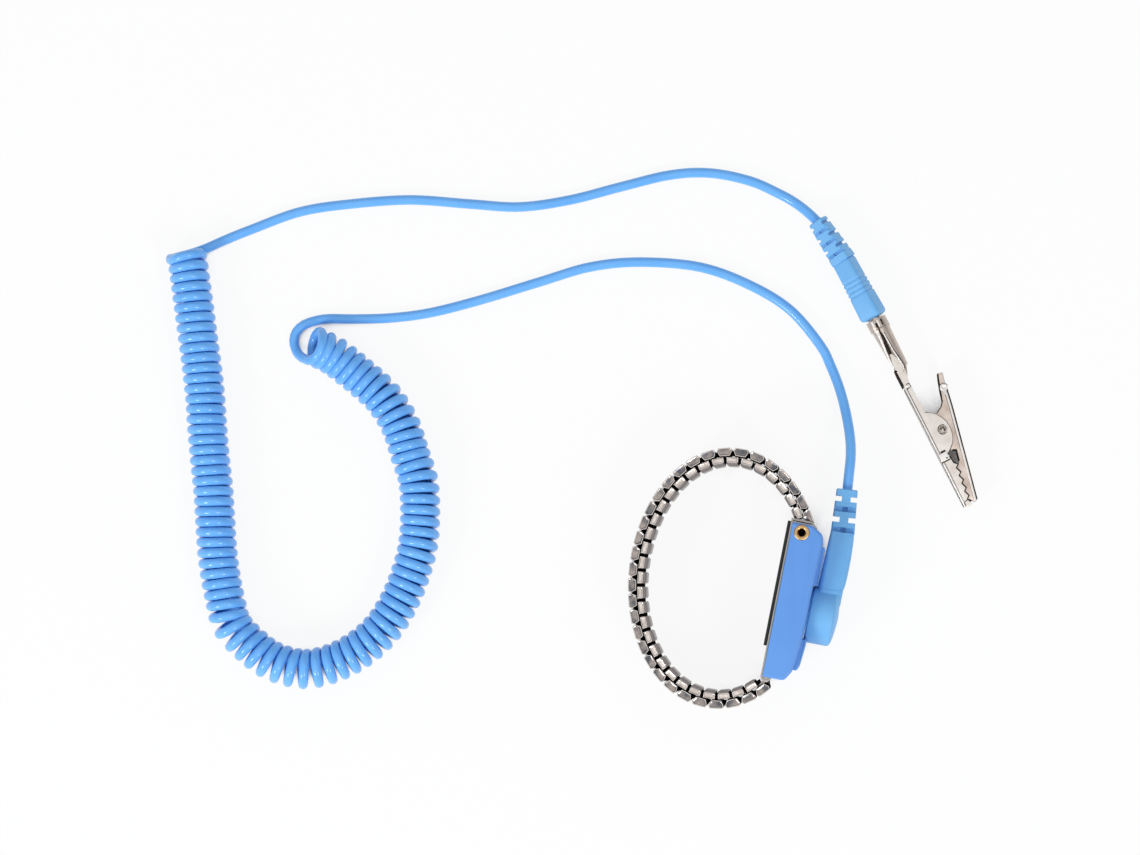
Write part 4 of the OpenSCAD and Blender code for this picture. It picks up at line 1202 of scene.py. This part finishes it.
rim = [(2.35, 2.4 * sin(a), 2.4 * cos(a)) for a in map(radians, range(-50, 46, 8))]
for name, coat, radius, line in (
    ("lip_wide", highlight, 0.3, on_barrel_skin(lip_wide, 0.15)),
    ("seam_gap", edge_shade, 0.42, on_barrel_skin(seam_gap, 0.3)),
    ("lip_thin", highlight, 0.17, on_barrel_skin(lip_thin, 0.04)),
    ("lip_edge", edge_shade, 0.1, on_barrel_skin(lip_thin, 0.04, 0.25)),
    ("rim_edge", edge_shade, 0.12, rim),
    ("rim_shine_a", highlight, 0.32, ((0.2, -1.15, 2.05), (1.5, -1.12, 2.05))),
    ("rim_shine_b", highlight, 0.3, ((0.3, 0.15, 2.3), (1.5, 0.1, 2.3), (2.0, 0.05, 2.28))),
    ("rim_dark_a", edge_shade, 0.24, ((0.9, -0.5, 2.3), (2.0, -0.6, 2.3))),
    ("rim_dark_b", edge_shade, 0.26, ((0.5, 0.95, 2.18), (2.0, 0.9, 2.18))),
):
    dressed(wire(name, [in_clip @ Vector(p) for p in line], radius, 10), coat, "clip_fixed", "nickel")
tongue = rounded([(8.9, -0.95, 0.1), (11, -1.5, 0.5), (12.3, -1.6, 0.5), (13.9, -1.2, 0.2), (14, 0.2, 0.2),
                  (12.3, 0.5, 0.5), (11, 0.3, 0.5), (9, -0.55, 0.1)], 3)
dressed(plate("tongue", tongue, 1.52, 1.68, 0.06, in_clip), fixed_sheet, "clip_fixed", "nickel")

rivet_at = Vector((30.6, 1.5, 0))
rivet_half = 3.2


def peened(angle):
    """The reach of the rivet's four-cornered head, as a share of its radius."""
    return 1 + 0.08 * cos(4 * angle)


rivet_top = [(0.98, 2.2), (0.98, rivet_half - 0.05), (1.12, rivet_half), (1.14, rivet_half + 0.1),
             (1.02, rivet_half + 0.26), (0.82, rivet_half + 0.28), (0.66, rivet_half - 0.05),
             (0.3, rivet_half - 0.12), (0.02, rivet_half - 0.05)]
rivet_profile = [(r, -z) for r, z in rivet_top[::-1]] + rivet_top
rivet = lathe("jaw_rivet", rivet_profile, in_clip @ Matrix.Translation(rivet_at), 48, peened)
dressed(rivet, nickel, "clip_fixed", "nickel", "clip_rivet")
bead("rivet_ring", edge_shade, "clip_fixed", 0.1,
     *arc(rivet_at[:2], 1.08, range(130, 400, 15), rivet_half + 0.2))
bead("rivet_mark", edge_shade, "clip_fixed", 0.13, *arc(rivet_at[:2], 0.42, range(20, 270, 15), rivet_half))

spring_wire_r = 0.35
spring_turns = 4
first_degrees = -120
winding_r = 1 + spring_wire_r + 0.1
winding = []
for step in range(36 * spring_turns - 1):
    degrees = first_degrees + 10 * step
    height = (2 * spring_wire_r + 0.02) * (degrees / 360 - spring_turns / 2 + 0.5)
    around = winding_r * heading_vector(degrees)
    winding.append(rivet_at + Vector((around.x, around.y, height)))
low, high = winding[0].z, winding[-1].z
spring_path = [Vector((24.6, -1.3, low)), Vector((28.1, -0.75, low)), *winding]
spring_path += [Vector((28.1, 3.6, high)), Vector((24.6, 5.55, high))]
spring = wire("torsion_spring", [in_clip @ p for p in spring_path], spring_wire_r, 10)
dressed(spring, steel, "clip_fixed", "plate_steel", "clip_spring")

# ---- Inner pieces ----
# What the mouldings close over: the stud with its washer and contact leaf, and the socket,
# ring spring, terminal, one megohm resistor and crimp of the snap plug.


def ceramic():
    """Buff lacquered ceramic of a resistor body."""
    material, shader, place = finish("ceramic", "d9c79c", 0.4, IOR=1.5)
    speckle = grain(place, 0.5, 3.0)
    blended(speckle, "cdb988", "e4d5b0").feed(shader, "Base Color")
    return material


inner_finishes = {
    "snap_stud": nickel, "stud_washer": steel, "contact_spring": brass, "snap_socket": nickel,
    "snap_spring": brass, "resistor": ceramic(), "socket_terminal": nickel, "wire_crimp": nickel,
}
for name, material in inner_finishes.items():
    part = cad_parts[name]
    part.data.materials.clear()
    part.data.materials.append(material)
